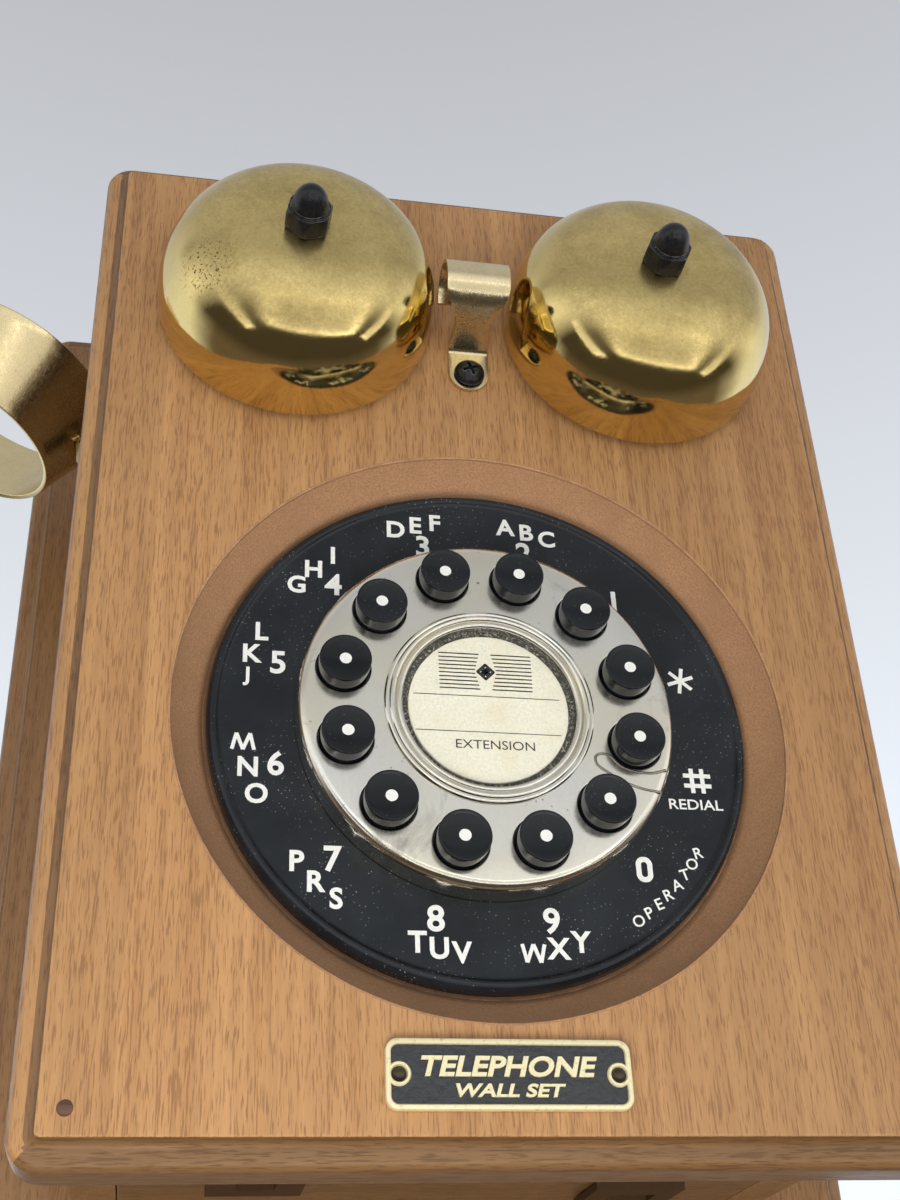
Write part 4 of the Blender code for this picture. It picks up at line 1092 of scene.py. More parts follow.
class TELEPHONE_OT_number_ring(Operator):
    """Makes the black number ring with its numbers and letters"""

    bl_idname = "telephone.make_number_ring"
    bl_label = "Number Ring"

    def execute(self, context):
        edge = RING_RADIUS
        seat = -RECESS_DEPTH + 0.0003
        skirt_foot = -0.012
        skirt_inner = SKIRT_RADIUS - 0.002
        back = RING_FACE - 0.0022
        round_size = 0.0004
        corners = [
            (RING_INNER, RING_FACE), (edge - 0.0024, RING_FACE, round_size),
            (edge - 0.0017, RING_FACE + 0.0007, round_size),
            (edge - 0.0007, RING_FACE + 0.0006, round_size), (edge, RING_FACE - 0.0004, round_size),
            (edge, seat), (SKIRT_RADIUS, seat), (SKIRT_RADIUS, skirt_foot), (skirt_inner, skirt_foot),
            (skirt_inner, back), (RING_INNER, back),
        ]
        black = moulded_black("ring_plastic", "ring_black", 0.160, 0.880, 0.030)
        turn_piece(
            rounded(corners),
            FINE,
            on_face(0, DIAL_Z),
            "moulded_number_ring",
            [black],
            "telephone",
            "gloss_black",
            ["number_ring"],
        )
        self.print_characters()
        return {"FINISHED"}

    def print_characters(self):
        bm = bmesh.new()
        digit_height = sizes().digit_height
        letter_height = sizes().letter_height
        for index, digit in enumerate("123456789"):
            add_letters(
                bm, digit, digit_height, PRINT_THICK, on_ring(DIGIT_RING, 45 + 30 * index), weight=0.024
            )
            for letter, angle in RING_LETTERS.get(digit, ()):
                spot = on_ring(LETTER_RING, angle)
                if letter in "MW":
                    add_peaks(bm, spot, letter_height, PEAKED_WIDTH, letter == "W")
                else:
                    add_letters(bm, letter, letter_height, PRINT_THICK, spot, weight=0.030)
        add_zero(bm, on_ring(ZERO_RING, 315), digit_height)
        word = "OPERATOR"
        for place, letter in enumerate(word):
            share = place / (len(word) - 1)
            angle = 304.6 + 22.9 * share
            matrix = on_ring(OPERATOR_RING, angle, math.radians(26 - 14 * share))
            add_letters(bm, letter, 0.0023, PRINT_THICK, matrix, weight=0.012)
        redial = on_face(0.0429, DIAL_Z - 0.0164, RING_FACE)
        add_letters(bm, "REDIAL", 0.0022, PRINT_THICK, redial, width=0.0113, weight=0.012)
        star = on_ring(0.0446, 15.3)
        arm = 0.0030
        for index in range(3):
            angle = math.radians(80 + 60 * index)
            tip = (arm * math.cos(angle), arm * math.sin(angle))
            add_bar(bm, tip, (-tip[0], -tip[1]), 0.0008, PRINT_THICK * (1 + index * 0.2), star)
        cross = on_ring(0.0452, -14.3)
        for side in (-1, 1):
            add_bar(bm, (side * 0.0011, -0.0027), (side * 0.0011, 0.0027), 0.0009, PRINT_THICK, cross)
            add_bar(bm, (-0.0029, side * 0.0011), (0.0029, side * 0.0011), 0.0009, PRINT_THICK * 1.2, cross)
        white = print_ink("white_print", tuple(colours().print_white))
        finish_piece(bm, "ring_lettering", [white], "telephone", "gloss_black", sharp=60)


def key_centre(name):
    low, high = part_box(f"key_{name}")
    return (low + high) / 2


class TELEPHONE_OT_dial_plate(Operator):
    """Makes the nickel plate with its twelve key holes and the embossed finger stop"""

    bl_idname = "telephone.make_dial_plate"
    bl_label = "Dial Plate"

    def execute(self, context):
        metal = nickel("plate_nickel", 0.75)
        top = PLATE_TOP
        under = RING_FACE + 0.0003
        lip = PLATE_RADIUS - 0.0018
        roll = 0.0022
        inside = PLATE_RADIUS - 0.0007
        hole_radius = 0.00546
        bm = bmesh.new()
        place = on_face(0, DIAL_Z)
        side = [(lip, top)] + arc((lip, top - roll), PLATE_RADIUS - lip, 90, 0, 12, roll)[1:]
        side += [
            (PLATE_RADIUS, under), (inside, under), (inside, top - 0.0024)
        ]
        outer = lathe(bm, side, FINE, place, closed=False)
        neck = lathe(bm, [(BEZEL_NECK, top), (BEZEL_NECK, top - 0.0008)], FINE, place, closed=False)
        upper = [outer[0], neck[0]]
        for name in KEY_NAMES:
            centre = key_centre(name)
            matrix = on_face(centre.x, centre.z)
            hole = rounded([(0.0058, top), (0.00548, top, 0.00022), (hole_radius, top - 0.0008)], 3)
            upper.append(lathe(bm, hole, 48, matrix, closed=False)[0])
        fill(bm, *upper)
        finish_piece(bm, "nickel_dial_plate", [metal], "telephone", "nickel", ["dial_plate"])
        self.emboss_stop(top)
        return {"FINISHED"}

    def emboss_stop(self, top):
        """A thin ridge that runs in from the plate's edge, round a blunt tip and out again; its dark colour
        is painted shade.
        """
        stop = bpy.data.curves.new("finger_stop_ridge", "CURVE")
        stop.dimensions = "3D"
        stop.bevel_depth = 0.00034
        stop.bevel_resolution = 3
        stop.use_fill_caps = True
        spline = stop.splines.new("BEZIER")
        route = (
            (0.0352, -0.0113), (0.0318, -0.0121), (0.0266, -0.0112), (0.0226, -0.0083),
            (0.0209, -0.0093), (0.0240, -0.0128), (0.0292, -0.0153), (0.0335, -0.0161),
        )
        spline.bezier_points.add(len(route) - 1)
        for point, (x, z) in zip(spline.bezier_points, route):
            point.co = (x - 0.0003, FACE - top + 0.00016, DIAL_Z + z - 0.0011)
            point.handle_left_type = "AUTO"
            point.handle_right_type = "AUTO"
        mesh = mesh_of_curve(stop)
        bm = bmesh.new()
        bm.from_mesh(mesh)
        bpy.data.meshes.remove(mesh)
        speck = rounded(
            [
                (0, top + 0.00012), (0.00028, top + 0.00008, 0.0001), (0.00028, top - 0.0003),
                (0, top - 0.0003),
            ]
        )
        lathe(bm, speck, 16, on_face(-0.001, DIAL_Z + 0.0285))
        # The ridge is coloured far darker than the plate's nickel: painted shade along the embossed
        # outline. The small speck shares this finish.
        dull = coated_metal("dull_ridge", (0.34, 0.31, 0.25), 1.0, 0.26, (0.62, 0.60, 0.52))
        finish_piece(bm, "finger_stop_ridge", [dull], "telephone", "nickel", sharp=60)


class TELEPHONE_OT_name_card(Operator):
    """Makes the beaded bezel, the printed card and its clear window"""

    bl_idname = "telephone.make_name_card"
    bl_label = "Name Card"

    def execute(self, context):
        low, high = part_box("card_bezel")
        outer = (high.x - low.x) / 2
        seat = PLATE_TOP + 0.0001
        shelf = PLATE_TOP - 0.0017
        window = 0.0176
        profile = [(window, shelf), (window, PLATE_TOP + 0.0002)]
        profile += arc((window + 0.0006, PLATE_TOP + 0.0002), 0.0006, 180, 60, 5)
        profile += arc((outer - 0.0016, PLATE_TOP + 0.0004), 0.0007, 200, 20, 6)
        profile += arc((outer - 0.0006, PLATE_TOP + 0.0002), 0.0006, 130, 0, 7)
        profile += [(outer, seat), (BEZEL_NECK - 0.0003, seat), (BEZEL_NECK - 0.0003, shelf - 0.0006)]
        profile += [(0.0156, shelf - 0.0006), (0.0156, shelf)]

        # The groove's faces take the dark painted shade.
        def groove_of(radius, height):
            return 1 if radius < window + 0.0001 and height < PLATE_TOP + 0.0001 else 0

        place = on_face(0, DIAL_Z)
        bm = bmesh.new()
        lathe(bm, profile, FINE, place, finish_of=groove_of)
        materials = [nickel("bezel_nickel", 0.35), shaded_groove()]
        finish_piece(bm, "beaded_bezel", materials, "telephone", "nickel", ["card_bezel"], 50)
        card_low, card_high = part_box("name_card")
        radius = (card_high.x - card_low.x) / 2
        bottom = shelf + 0.0001
        bm = bmesh.new()
        profile = [
            (0, CARD_TOP), (radius - 0.0001, CARD_TOP), (radius, CARD_TOP - 0.0001), (radius, bottom),
            (0, bottom),
        ]
        lathe(bm, profile, FINE, place)
        finish_piece(bm, "cream_card", [card_stock()], "telephone", "paper", ["name_card"])
        self.print_card(radius)
        lens_radius = window - 0.0002
        lens_low = CARD_TOP + 0.0004
        lens_high = lens_low + 0.0008
        profile = rounded(
            [
                (0, lens_high), (lens_radius, lens_high - 0.0002, 0.0003), (lens_radius, lens_low),
                (0, lens_low),
            ]
        )
        window = turn_piece(
            profile,
            FINE,
            place,
            "clear_card_window",
            [clear_plastic()],
            "telephone",
            "clear_plastic",
            ["card_lens"],
        )
        window.visible_shadow = False
        return {"FINISHED"}

    def print_card(self, radius):
        """Two rules across the card, a block of short rules broken by a lozenge above, a word below."""
        bm = bmesh.new()
        place = on_face(-0.0003, DIAL_Z - 0.0011, CARD_TOP)
        for height in (0.0036, -0.0043):
            reach = math.sqrt(radius**2 - height**2) - 0.0010
            add_bar(bm, (-reach, height), (reach, height), 0.00016, PRINT_THICK, place)
        rules = 10
        for index in range(rules):
            z = 0.0052 + index * 0.00088
            for start, end in ((-0.0095, -0.0022), (0.0022, 0.0095)):
                inset = 0.0022 * abs(index - (rules - 1) / 2) / rules
                near = start if start < 0 else start - inset
                far = end + inset if start < 0 else end
                add_bar(bm, (near, z), (far, z), 0.00026, PRINT_THICK, place)
        middle = 0.0052 + (rules - 1) * 0.00044
        diamond = place @ Matrix.Translation((0, middle, 0)) @ Matrix.Rotation(math.pi / 4, 4, "Z")
        for inset, thick in ((0.0026, 0.0006), (0.0012, 0.0012)):
            for turn in range(4):
                turned = diamond @ Matrix.Rotation(turn * math.pi / 2, 4, "Z")
                add_bar(
                    bm,
                    (-inset / 2, inset / 2 - thick / 4), (inset / 2, inset / 2 - thick / 4),
                    thick,
                    PRINT_THICK,
                    turned,
                )
        add_letters(
            bm,
            "EXTENSION",
            0.0019,
            PRINT_THICK,
            place @ Matrix.Translation((0.0012, -0.0070, 0)),
            width=0.0158,
        )
        ink = print_ink("black_print", (0.020, 0.020, 0.022))
        finish_piece(bm, "card_print", [ink], "telephone", "paper", sharp=60)


class TELEPHONE_OT_keys(Operator):
    """Makes the twelve dished push keys with their white dots"""

    bl_idname = "telephone.make_keys"
    bl_label = "Push Keys"

    def execute(self, context):
        black = moulded_black("key_plastic", "key_black", 0.055, 0.200, 0.008)
        white = print_ink("white_print", tuple(colours().print_white))
        dot = sizes().key_dot
        for name in KEY_NAMES:
            low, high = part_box(f"key_{name}")
            top = FACE - low.y
            back = FACE - high.y
            profile = [(0, top - KEY_DISH)]
            for step in range(1, 4):
                r = dot * step / 3
                profile.append((r, top - KEY_DISH * (1 - (r / KEY_RADIUS) ** 2)))
            for step in range(1, 7):
                r = dot + (KEY_RADIUS - 0.0006 - dot) * step / 6
                profile.append((r, top - KEY_DISH * (1 - (r / KEY_RADIUS) ** 2)))
            edge = [(KEY_RADIUS - 0.0004, top - 0.00002), (KEY_RADIUS, top - 0.00003, 0.00035)]
            profile += rounded([*edge, (KEY_RADIUS, top - 0.0012)], 4)
            flange = PLATE_TOP - 0.0013
            profile += [
                (KEY_RADIUS, flange), (KEY_FLANGE_RADIUS, flange), (KEY_FLANGE_RADIUS, flange - 0.001)
            ]
            profile += [(KEY_STEM_RADIUS, flange - 0.001), (KEY_STEM_RADIUS, back), (0, back)]
            centre = (low + high) / 2
            bm = bmesh.new()
            lathe(
                bm,
                profile,
                MEDIUM,
                on_face(centre.x, centre.z),
                finish_of=lambda r, h: 1 if r < dot and h > 0 else 0,
            )
            body = f"push_key_{name}"
            finish_piece(bm, f"dotted_key_{name}", [black, white], body, "gloss_black", [f"key_{name}"])
        return {"FINISHED"}


# ---------------------------------------------------------------- bells


def bell_curve(radius, height, hole):
    """Quarter of a squared-off ellipse, from the hole at the crown down to the rim."""
    power = 2 / sizes().bell_squareness
    first = math.acos((hole / radius) ** (1 / power))
    steps = sizes().bell_steps
    points = []
    for step in range(steps + 1):
        angle = first * (1 - (step / steps) ** 1.15)
        points.append((radius * math.cos(angle) ** power, height * math.sin(angle) ** power))
    return points


def add_acorn_nut(bm, low, across, height, matrix):
    """A chamfered hexagon with a collar and a round cap."""
    corner = across / 2 / math.cos(math.pi / 6)
    top = height * 0.45
    dome = across * 0.43
    levels = [(0.0, corner * 0.93), (0.0004, corner), (top - 0.0006, corner), (top, corner * 0.90)]
    levels += [(top + 0.0001, dome * 1.04), (top + 0.0005, dome * 1.03), (top + 0.0006, dome)]
    for step in range(1, 10):
        angle = math.pi / 2 * step / 10
        levels.append((top + 0.0006 + (height - top - 0.0006) * math.sin(angle), dome * math.cos(angle)))
    count = 48
    rings = []
    for out, limit in levels:
        ring = []
        for index in range(count):
            angle = 2 * math.pi * index / count
            flat = (angle + math.pi / 6) % (math.pi / 3) - math.pi / 6
            radius = min(across / 2 / math.cos(math.pi / 6 - abs(flat)), limit)
            ring.append(
                bm.verts.new(
                    matrix @ Vector((radius * math.cos(angle), radius * math.sin(angle), low + out))
                )
            )
        rings.append(ring)
    loft(bm, rings)
    bm.faces.new(rings[0])
    tip = bm.verts.new(matrix @ Vector((0, 0, low + height)))
    for i in range(count):
        bm.faces.new((rings[-1][i], rings[-1][(i + 1) % count], tip))


class TELEPHONE_OT_bells(Operator):
    """Makes the two spun bells with their posts and acorn nuts"""

    bl_idname = "telephone.make_bells"
    bl_label = "Bells"

    def execute(self, context):
        for side in ("left", "right"):
            low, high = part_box(f"bell_{side}")
            centre = (low + high) / 2
            place = on_face(centre.x, centre.z)
            radius = (high.x - low.x) / 2
            lift = FACE - high.y
            height = high.y - low.y
            outer = bell_curve(radius, height, BELL_HOLE)
            inner = bell_curve(radius - BELL_WALL, height - BELL_WALL, BELL_HOLE)
            rim = arc((radius - BELL_WALL / 2, 0), BELL_WALL / 2, 0, -180, 4, 0.0002)
            profile = [(r, h + lift) for r, h in outer + rim[1:-1] + inner[::-1]]
            bm = bmesh.new()
            lathe(bm, profile, FINE, place)
            pits = (centre.x - 0.020, centre.z - 0.0095) if side == "left" else NO_PITS
            brass = bell_brass(*pits)
            finish_piece(bm, f"spun_bell_{side}", [brass], "telephone", "brass", [f"bell_{side}"])
            self.make_post(side, place, lift + height)
        return {"FINISHED"}

    def make_post(self, side, place, crown):
        shoulder = crown - 0.0015
        stud_top = crown + 0.0055
        stud = 0.0016
        pillar = 0.0035
        foot = 0.0055
        shank = 0.0020
        shank_end = -0.012
        corners = [
            (0, stud_top), (stud, stud_top, 0.0003), (stud, shoulder), (pillar, shoulder, 0.0004),
            (pillar, 0.0026, 0.0006), (foot, 0.0018, 0.0004), (foot, 0.0003), (shank, 0.0003),
            (shank, shank_end), (0, shank_end),
        ]
        turn_piece(
            rounded(corners),
            SMALL,
            place,
            f"bell_pillar_{side}",
            [plated_steel()],
            "telephone",
            "steel",
            [f"bell_post_{side}"],
        )
        node = f"bell_nut_{side}"
        low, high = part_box(node)
        bm = bmesh.new()
        tilt = 0.30 if side == "left" else 0.12
        add_acorn_nut(bm, crown + 0.0001, NUT_ACROSS, high.y - low.y, place @ Matrix.Rotation(tilt, 4, "Z"))
        finish_piece(bm, f"acorn_nut_{side}", [black_steel()], "telephone", "black_steel", [node])


# ---------------------------------------------------------------- clip and nameplate


def clip_route():
    """The clip's strip as (half width, out, z): round foot, flat, S-bend, and a roll back over itself."""
    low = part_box("scroll_clip")[0].z
    foot = 0.0045
    half = 0.00045
    route = []
    for step in range(1, 13):
        angle = math.pi / 2 * step / 12
        route.append((foot * math.sin(angle), half + 0.0001, low + foot * (1 - math.cos(angle))))
    route += [(foot, half + 0.0001, low + h) for h in (0.0062, 0.0080, 0.0098, 0.0106)]
    route += [
        (foot, 0.0009, 0.0631), (0.00448, 0.0018, 0.0636), (0.0043, 0.0045, 0.0644),
        (0.0040, 0.0068, 0.0652),
    ]
    route += [(0.0039, 0.0082, 0.0656), (0.0043, 0.0094, 0.06595), (0.0050, 0.0108, 0.06635)]
    centre = (0.0104, 0.0728)
    radius = 0.0063
    steps = 44
    for step in range(steps + 1):
        turn = math.radians(107 + 243 * step / steps)
        out = centre[0] - radius * math.cos(turn)
        z = centre[1] - radius * math.sin(turn)
        route.append((0.0058 + 0.0014 * math.sin(math.pi / 2 * min(1, step / 8)), out, z))
    return route


class TELEPHONE_OT_scroll_clip(Operator):
    """Makes the rolled brass clip between the bells and its cross-head screw"""

    bl_idname = "telephone.make_scroll_clip"
    bl_label = "Scroll Clip"

    def execute(self, context):
        bm = bmesh.new()
        columns = 7
        rows = []
        for half_width, out, z in clip_route():
            rows.append(
                [
                    bm.verts.new((half_width * (2 * c / (columns - 1) - 1), FACE - out, z)) for c in range(
                        columns
                    )
                ]
            )
        for row, ahead in zip(rows, rows[1:]):
            for c in range(columns - 1):
                bm.faces.new((row[c], row[c + 1], ahead[c + 1], ahead[c]))
        satin = brushed_brass("clip_brass", 2200.0, 0.25, 0.35)
        clip = finish_piece(bm, "rolled_clip", [satin], "telephone", "brass", ["scroll_clip"], 80)
        solid = clip.modifiers.new("thickness", "SOLIDIFY")
        solid.thickness = 0.0009
        solid.offset = 0.0
        soften_edges(clip, 0.00018, 2)
        self.make_screw()
        return {"FINISHED"}

    def make_screw(self):
        low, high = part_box("clip_screw")
        centre = (low + high) / 2
        head = FACE - low.y
        base = head - 0.0022
        corners = [
            (0, head), (0.0018, head - 0.0001, 0.0006), (0.0033, base + 0.0009, 0.0006), (0.0035, base),
            (0.0014, base),
        ]
        corners += [(0.0014, -0.0115), (0, -0.013)]
        screw = turn_piece(
            rounded(corners, 5),
            MEDIUM,
            on_face(centre.x, centre.z),
            "cross_head_screw",
            [black_steel()],
            "telephone",
            "black_steel",
            ["clip_screw"],
        )
        bm = bmesh.new()
        place = on_face(centre.x, centre.z, head - 0.0004) @ Matrix.Rotation(0.35, 4, "Z")
        for turn in (0, math.pi / 2):
            add_bar(bm, (-0.0019, 0), (0.0019, 0), 0.0008, 0.0018, place @ Matrix.Rotation(turn, 4, "Z"))
        mesh = bpy.data.meshes.new("cross_recess")
        bm.to_mesh(mesh)
        bm.free()
        cutter = bpy.data.objects.new("cross_recess", mesh)
        bpy.context.scene.collection.objects.link(cutter)
        cut = screw.modifiers.new("recess", "BOOLEAN")
        cut.object = cutter
        cut.use_self = True
        apply_modifiers(screw)
        bpy.data.objects.remove(cutter)


def apply_modifiers(piece):
    """Makes the piece's shape final."""
    bpy.context.view_layer.update()
    shape = piece.evaluated_get(bpy.context.evaluated_depsgraph_get())
    mesh = bpy.data.meshes.new_from_object(shape)
    piece.modifiers.clear()
    piece.data = mesh


class TELEPHONE_OT_nameplate(Operator):
    """Makes the enamelled nameplate with its gilt border, raised words, eyelets and pins"""

    bl_idname = "telephone.make_nameplate"
    bl_label = "Nameplate"

    def execute(self, context):
        low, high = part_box("nameplate")
        centre = (low + high) / 2
        half_width = (high.x - low.x) / 2
        half_height = (high.z - low.z) / 2
        thick = FACE - low.y
        field = thick - 0.00055
        sections = [
            (0.0, 0.0022, 0.0002), (0.0, 0.0022, thick - 0.0004), (0.00012, 0.0021, thick - 0.00012),
            (0.00035, 0.0019, thick), (0.00075, 0.0016, thick), (0.00095, 0.0014, thick - 0.00015),
            (0.00105, 0.0013, field),
        ]
        place = on_face(0, centre.z)
        bm = bmesh.new()
        rings = []
        for inset, radius, out in sections:
            outline = rounded_rectangle(half_width - inset, half_height - inset, radius)
            rings.append(ring_of(bm, [(x, y, out) for x, y in outline], place))
        loft(bm, rings)
        fill(bm, rings[0])
        fill(bm, rings[-1], finish=1)
        pins = {
            side: (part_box(f"nameplate_pin_{side}")[0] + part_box(f"nameplate_pin_{side}")[1]) / 2
            for side in ("left", "right")
        }
        for pin in pins.values():
            spot = on_face(pin.x, pin.z)
            outer = 0.00215
            collar = [(outer, field - 0.0002), (outer, field + 0.0002), (outer - 0.0002, thick - 0.00005)]
            collar += [
                (outer - 0.0006, thick - 0.00005), (outer - 0.0008, field + 0.0001),
                (outer - 0.0008, field - 0.0002),
            ]
            lathe(bm, collar, SMALL, spot)
        raised = on_face(0, centre.z, field + 0.0002)
        words = ((sizes().nameplate_text, 0.0036, 0.0013, 0.0315), ("WALL SET", 0.0023, -0.0028, 0.0195))
        for text, tall, rise, wide in words:
            spot = raised @ Matrix.Translation((0, rise, 0))
            add_letters(bm, text, tall, RAISED_THICK, spot, width=wide, weight=0.03, slant=0.22)
        finish_piece(
            bm, "enamelled_nameplate", [gilt(), enamel()], "telephone", "black_steel", ["nameplate"]
        )
        for side, pin in pins.items():
            head = rounded(
                [(0, thick + 0.0001), (0.0008, thick, 0.0003), (0.0013, field, 0.0001), (0.0006, field)], 4
            )
            bm = bmesh.new()
            lathe(bm, head + [(0.0006, -0.0075), (0, -0.0075)], SMALL, on_face(pin.x, pin.z))
            node = f"nameplate_pin_{side}"
            dark = coated_metal("dark_pin", (0.10, 0.085, 0.06), 1.0, 0.34, (0.45, 0.38, 0.25))
            finish_piece(bm, f"plate_pin_{side}", [dark], "telephone", "brass", [node])
        return {"FINISHED"}


# ---------------------------------------------------------------- hook


class TELEPHONE_OT_hook(Operator):
    """Makes the flared open ring that holds the handset, and its arm"""

    bl_idname = "telephone.make_hook"
    bl_label = "Handset Hook"

    def execute(self, context):
        joint = next(j for j in frame["joints"] if j["name"] == "hook_swing")
        pivot = Matrix.Translation(joint["pos_m"]) @ Matrix.Rotation(math.radians(25), 4, "Y")
        reach = 0.056
        heights = (-0.010, 0.0107)
        radii = (0.0209, 0.0275)
        opening = math.radians(84)
        levels = 10
        steps = 96
        bm = bmesh.new()
        rows = []
        for level in range(levels + 1):
            t = level / levels
            height = heights[0] + (heights[1] - heights[0]) * t
            radius = radii[0] + (radii[1] - radii[0]) * (0.82 * t + 0.18 * t * t)
            row = []
            for step in range(steps + 1):
                angle = (2 * math.pi - opening) * (step / steps - 0.5)
                point = (-reach + radius * math.cos(angle), radius * math.sin(angle), height)
                row.append(bm.verts.new(pivot @ Vector(point)))
            rows.append(row)
        for row, ahead in zip(rows, rows[1:]):
            for i in range(steps):
                bm.faces.new((row[i], row[i + 1], ahead[i + 1], ahead[i]))
        brass = brushed_brass("hook_brass", 1500.0, 0.20, 0.25)
        ring = finish_piece(bm, "flared_hook_ring", [brass], "hook", "brass", ["receiver_hook"], 80)
        solid = ring.modifiers.new("thickness", "SOLIDIFY")
        solid.thickness = 0.0013
        solid.offset = 0.0
        soften_edges(ring, 0.0003, 3)
        self.make_arm(pivot, reach, sum(radii) / 2, brass)
        return {"FINISHED"}

    def make_arm(self, pivot, reach, ring_radius, brass):
        """A flat bar from the ring to the lever end, with the pivot barrel across it."""
        bm = bmesh.new()
        half = 0.0045
        lengths = (-reach + ring_radius + 0.0001, 0.015)
        middle = sum(lengths) / 2
        outline = rounded_rectangle((lengths[1] - lengths[0]) / 2, half, 0.0012, 5)
        bar = [ring_of(bm, [(middle + x, y, z) for x, y in outline], pivot) for z in (-0.001, 0.001)]
        loft(bm, bar)
        for ring in bar:
            fill(bm, ring)
        barrel = rounded(
            [(0.0021, half), (0.0036, half, 0.0003), (0.0036, -half, 0.0003), (0.0021, -half)], 3
        )
        lathe(bm, barrel, SMALL, pivot @ VIEWER)
        arm = finish_piece(bm, "hook_arm", [brass], "hook", "brass", sharp=40)
        soften_edges(arm, 0.0003, 3, 60)


# ---------------------------------------------------------------- crank


class TELEPHONE_OT_crank(Operator):
    """Makes the crank's bushing, arm, nut, turned knob and pin"""

    bl_idname = "telephone.make_crank"
    bl_label = "Crank"

    def execute(self, context):
        joints = {joint["name"]: joint for joint in frame["joints"]}
        axle = Vector(joints["crank_turn"]["pos_m"])
        handle = Vector(joints["knob_spin"]["pos_m"])
        along = Matrix.Translation((0, axle.y, axle.z)) @ RIGHT
        brass = brushed_brass("crank_brass", 1800.0, 0.3)
        low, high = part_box("crank_bushing")
        bore = 0.0043
        sleeve = 0.0077
        flange = 0.0140
        flange_back = high.x - 0.0039
        corners = [
            (bore, high.x), (0.0062, high.x, 0.0004), (0.0068, high.x - 0.0012, 0.0004),
            (0.0125, high.x - 0.0018, 0.0008), (flange, high.x - 0.0030, 0.0004), (flange, flange_back),
            (sleeve, flange_back), (sleeve, low.x), (bore, low.x),
        ]
        turn_piece(
            rounded(corners),
            MEDIUM,
            along,
            "crank_flange",
            [brass],
            "telephone",
            "brass",
            ["crank_bushing"],
        )
        self.make_arm(axle, handle, brass)
        low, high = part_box("crank_nut")
        bm = bmesh.new()
        add_acorn_nut(bm, low.x - 0.0001, NUT_ACROSS, high.x - low.x, along)
        finish_piece(bm, "crank_acorn_nut", [black_steel()], "crank", "black_steel", ["crank_nut"])
        self.make_knob(handle, brass)
        dress("crank_shaft", plated_steel(), 0.0003)
        dress("crank_collar", plated_steel(), 0.0003)
        return {"FINISHED"}

    def make_arm(self, axle, handle, brass):
        low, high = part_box("crank_arm")
        length = axle.z - handle.z
        big_end = 0.0080
        small_end = 0.0055
        lean = math.degrees(math.asin((big_end - small_end) / length))
        outline = arc((0, 0), big_end, -lean, 180 + lean, 28)
        outline += arc((0, -length), small_end, 180 + lean, 360 - lean, 20)
        place = Matrix.Translation((0, axle.y, axle.z)) @ Matrix.Rotation(math.pi / 2, 4, "Z") @ VIEWER
        bm = bmesh.new()
        sides = (low.x, high.x)
        bars = [ring_of(bm, [(x, y, side) for x, y in outline], place) for side in sides]
        holes = []
        for centre, radius in (((0, 0), 0.0019), ((0, -length), 0.0028)):
            hole = [ring_of(bm, circle(radius, SMALL, side, centre), place) for side in sides]
            loft(bm, hole)
            holes.append(hole)
        loft(bm, bars)
        for side in (0, 1):
            fill(bm, bars[side], holes[0][side], holes[1][side])
        arm = finish_piece(bm, "flat_crank_arm", [brass], "crank", "brass", ["crank_arm"])
        soften_edges(arm, 0.0005, 3)

    def make_knob(self, handle, brass):
        low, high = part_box("crank_knob")
        radius = (high.y - low.y) / 2
        length = high.x - low.x
        place = Matrix.Translation((0, handle.y, handle.z)) @ RIGHT
        shape = (
            (1.0, 0.42), (0.985, 0.56), (0.93, 0.76), (0.85, 0.92), (0.74, 1.0), (0.62, 0.99),
            (0.50, 0.93), (0.40, 0.84), (0.28, 0.72), (0.17, 0.61), (0.12, 0.60), (0.10, 0.66),
            (0.02, 0.66), (0.0, 0.62),
        )
        bore = 0.0028
        corners = [(bore, high.x)]
        corners += [(r * radius, low.x + t * length, 0.0006) for t, r in shape]
        corners += [(bore, low.x)]
        turn_piece(
            rounded(corners, 3),
            MEDIUM,
            place,
            "turned_knob",
            [stained_wood("knob_wood", 1.0)],
            "knob",
            "dark_wood",
            ["crank_knob"],
        )
        pin_low, pin_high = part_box("crank_knob_pin")
        head = high.x + 0.0003
        rivet = 0.0036
        shank = 0.0025
        foot = 0.0040
        foot_top = pin_low.x + 0.0014
        corners = [
            (0, pin_high.x), (0.0022, pin_high.x - 0.0002, 0.0006), (rivet, head + 0.0001, 0.0003),
            (rivet, head), (shank, head), (shank, foot_top), (foot, foot_top),
            (foot, pin_low.x + 0.0003, 0.0003), (0, pin_low.x),
        ]
        turn_piece(
            rounded(corners),
            SMALL,
            place,
            "riveted_knob_pin",
            [brass],
            "crank",
            "brass",
            ["crank_knob_pin"],
        )


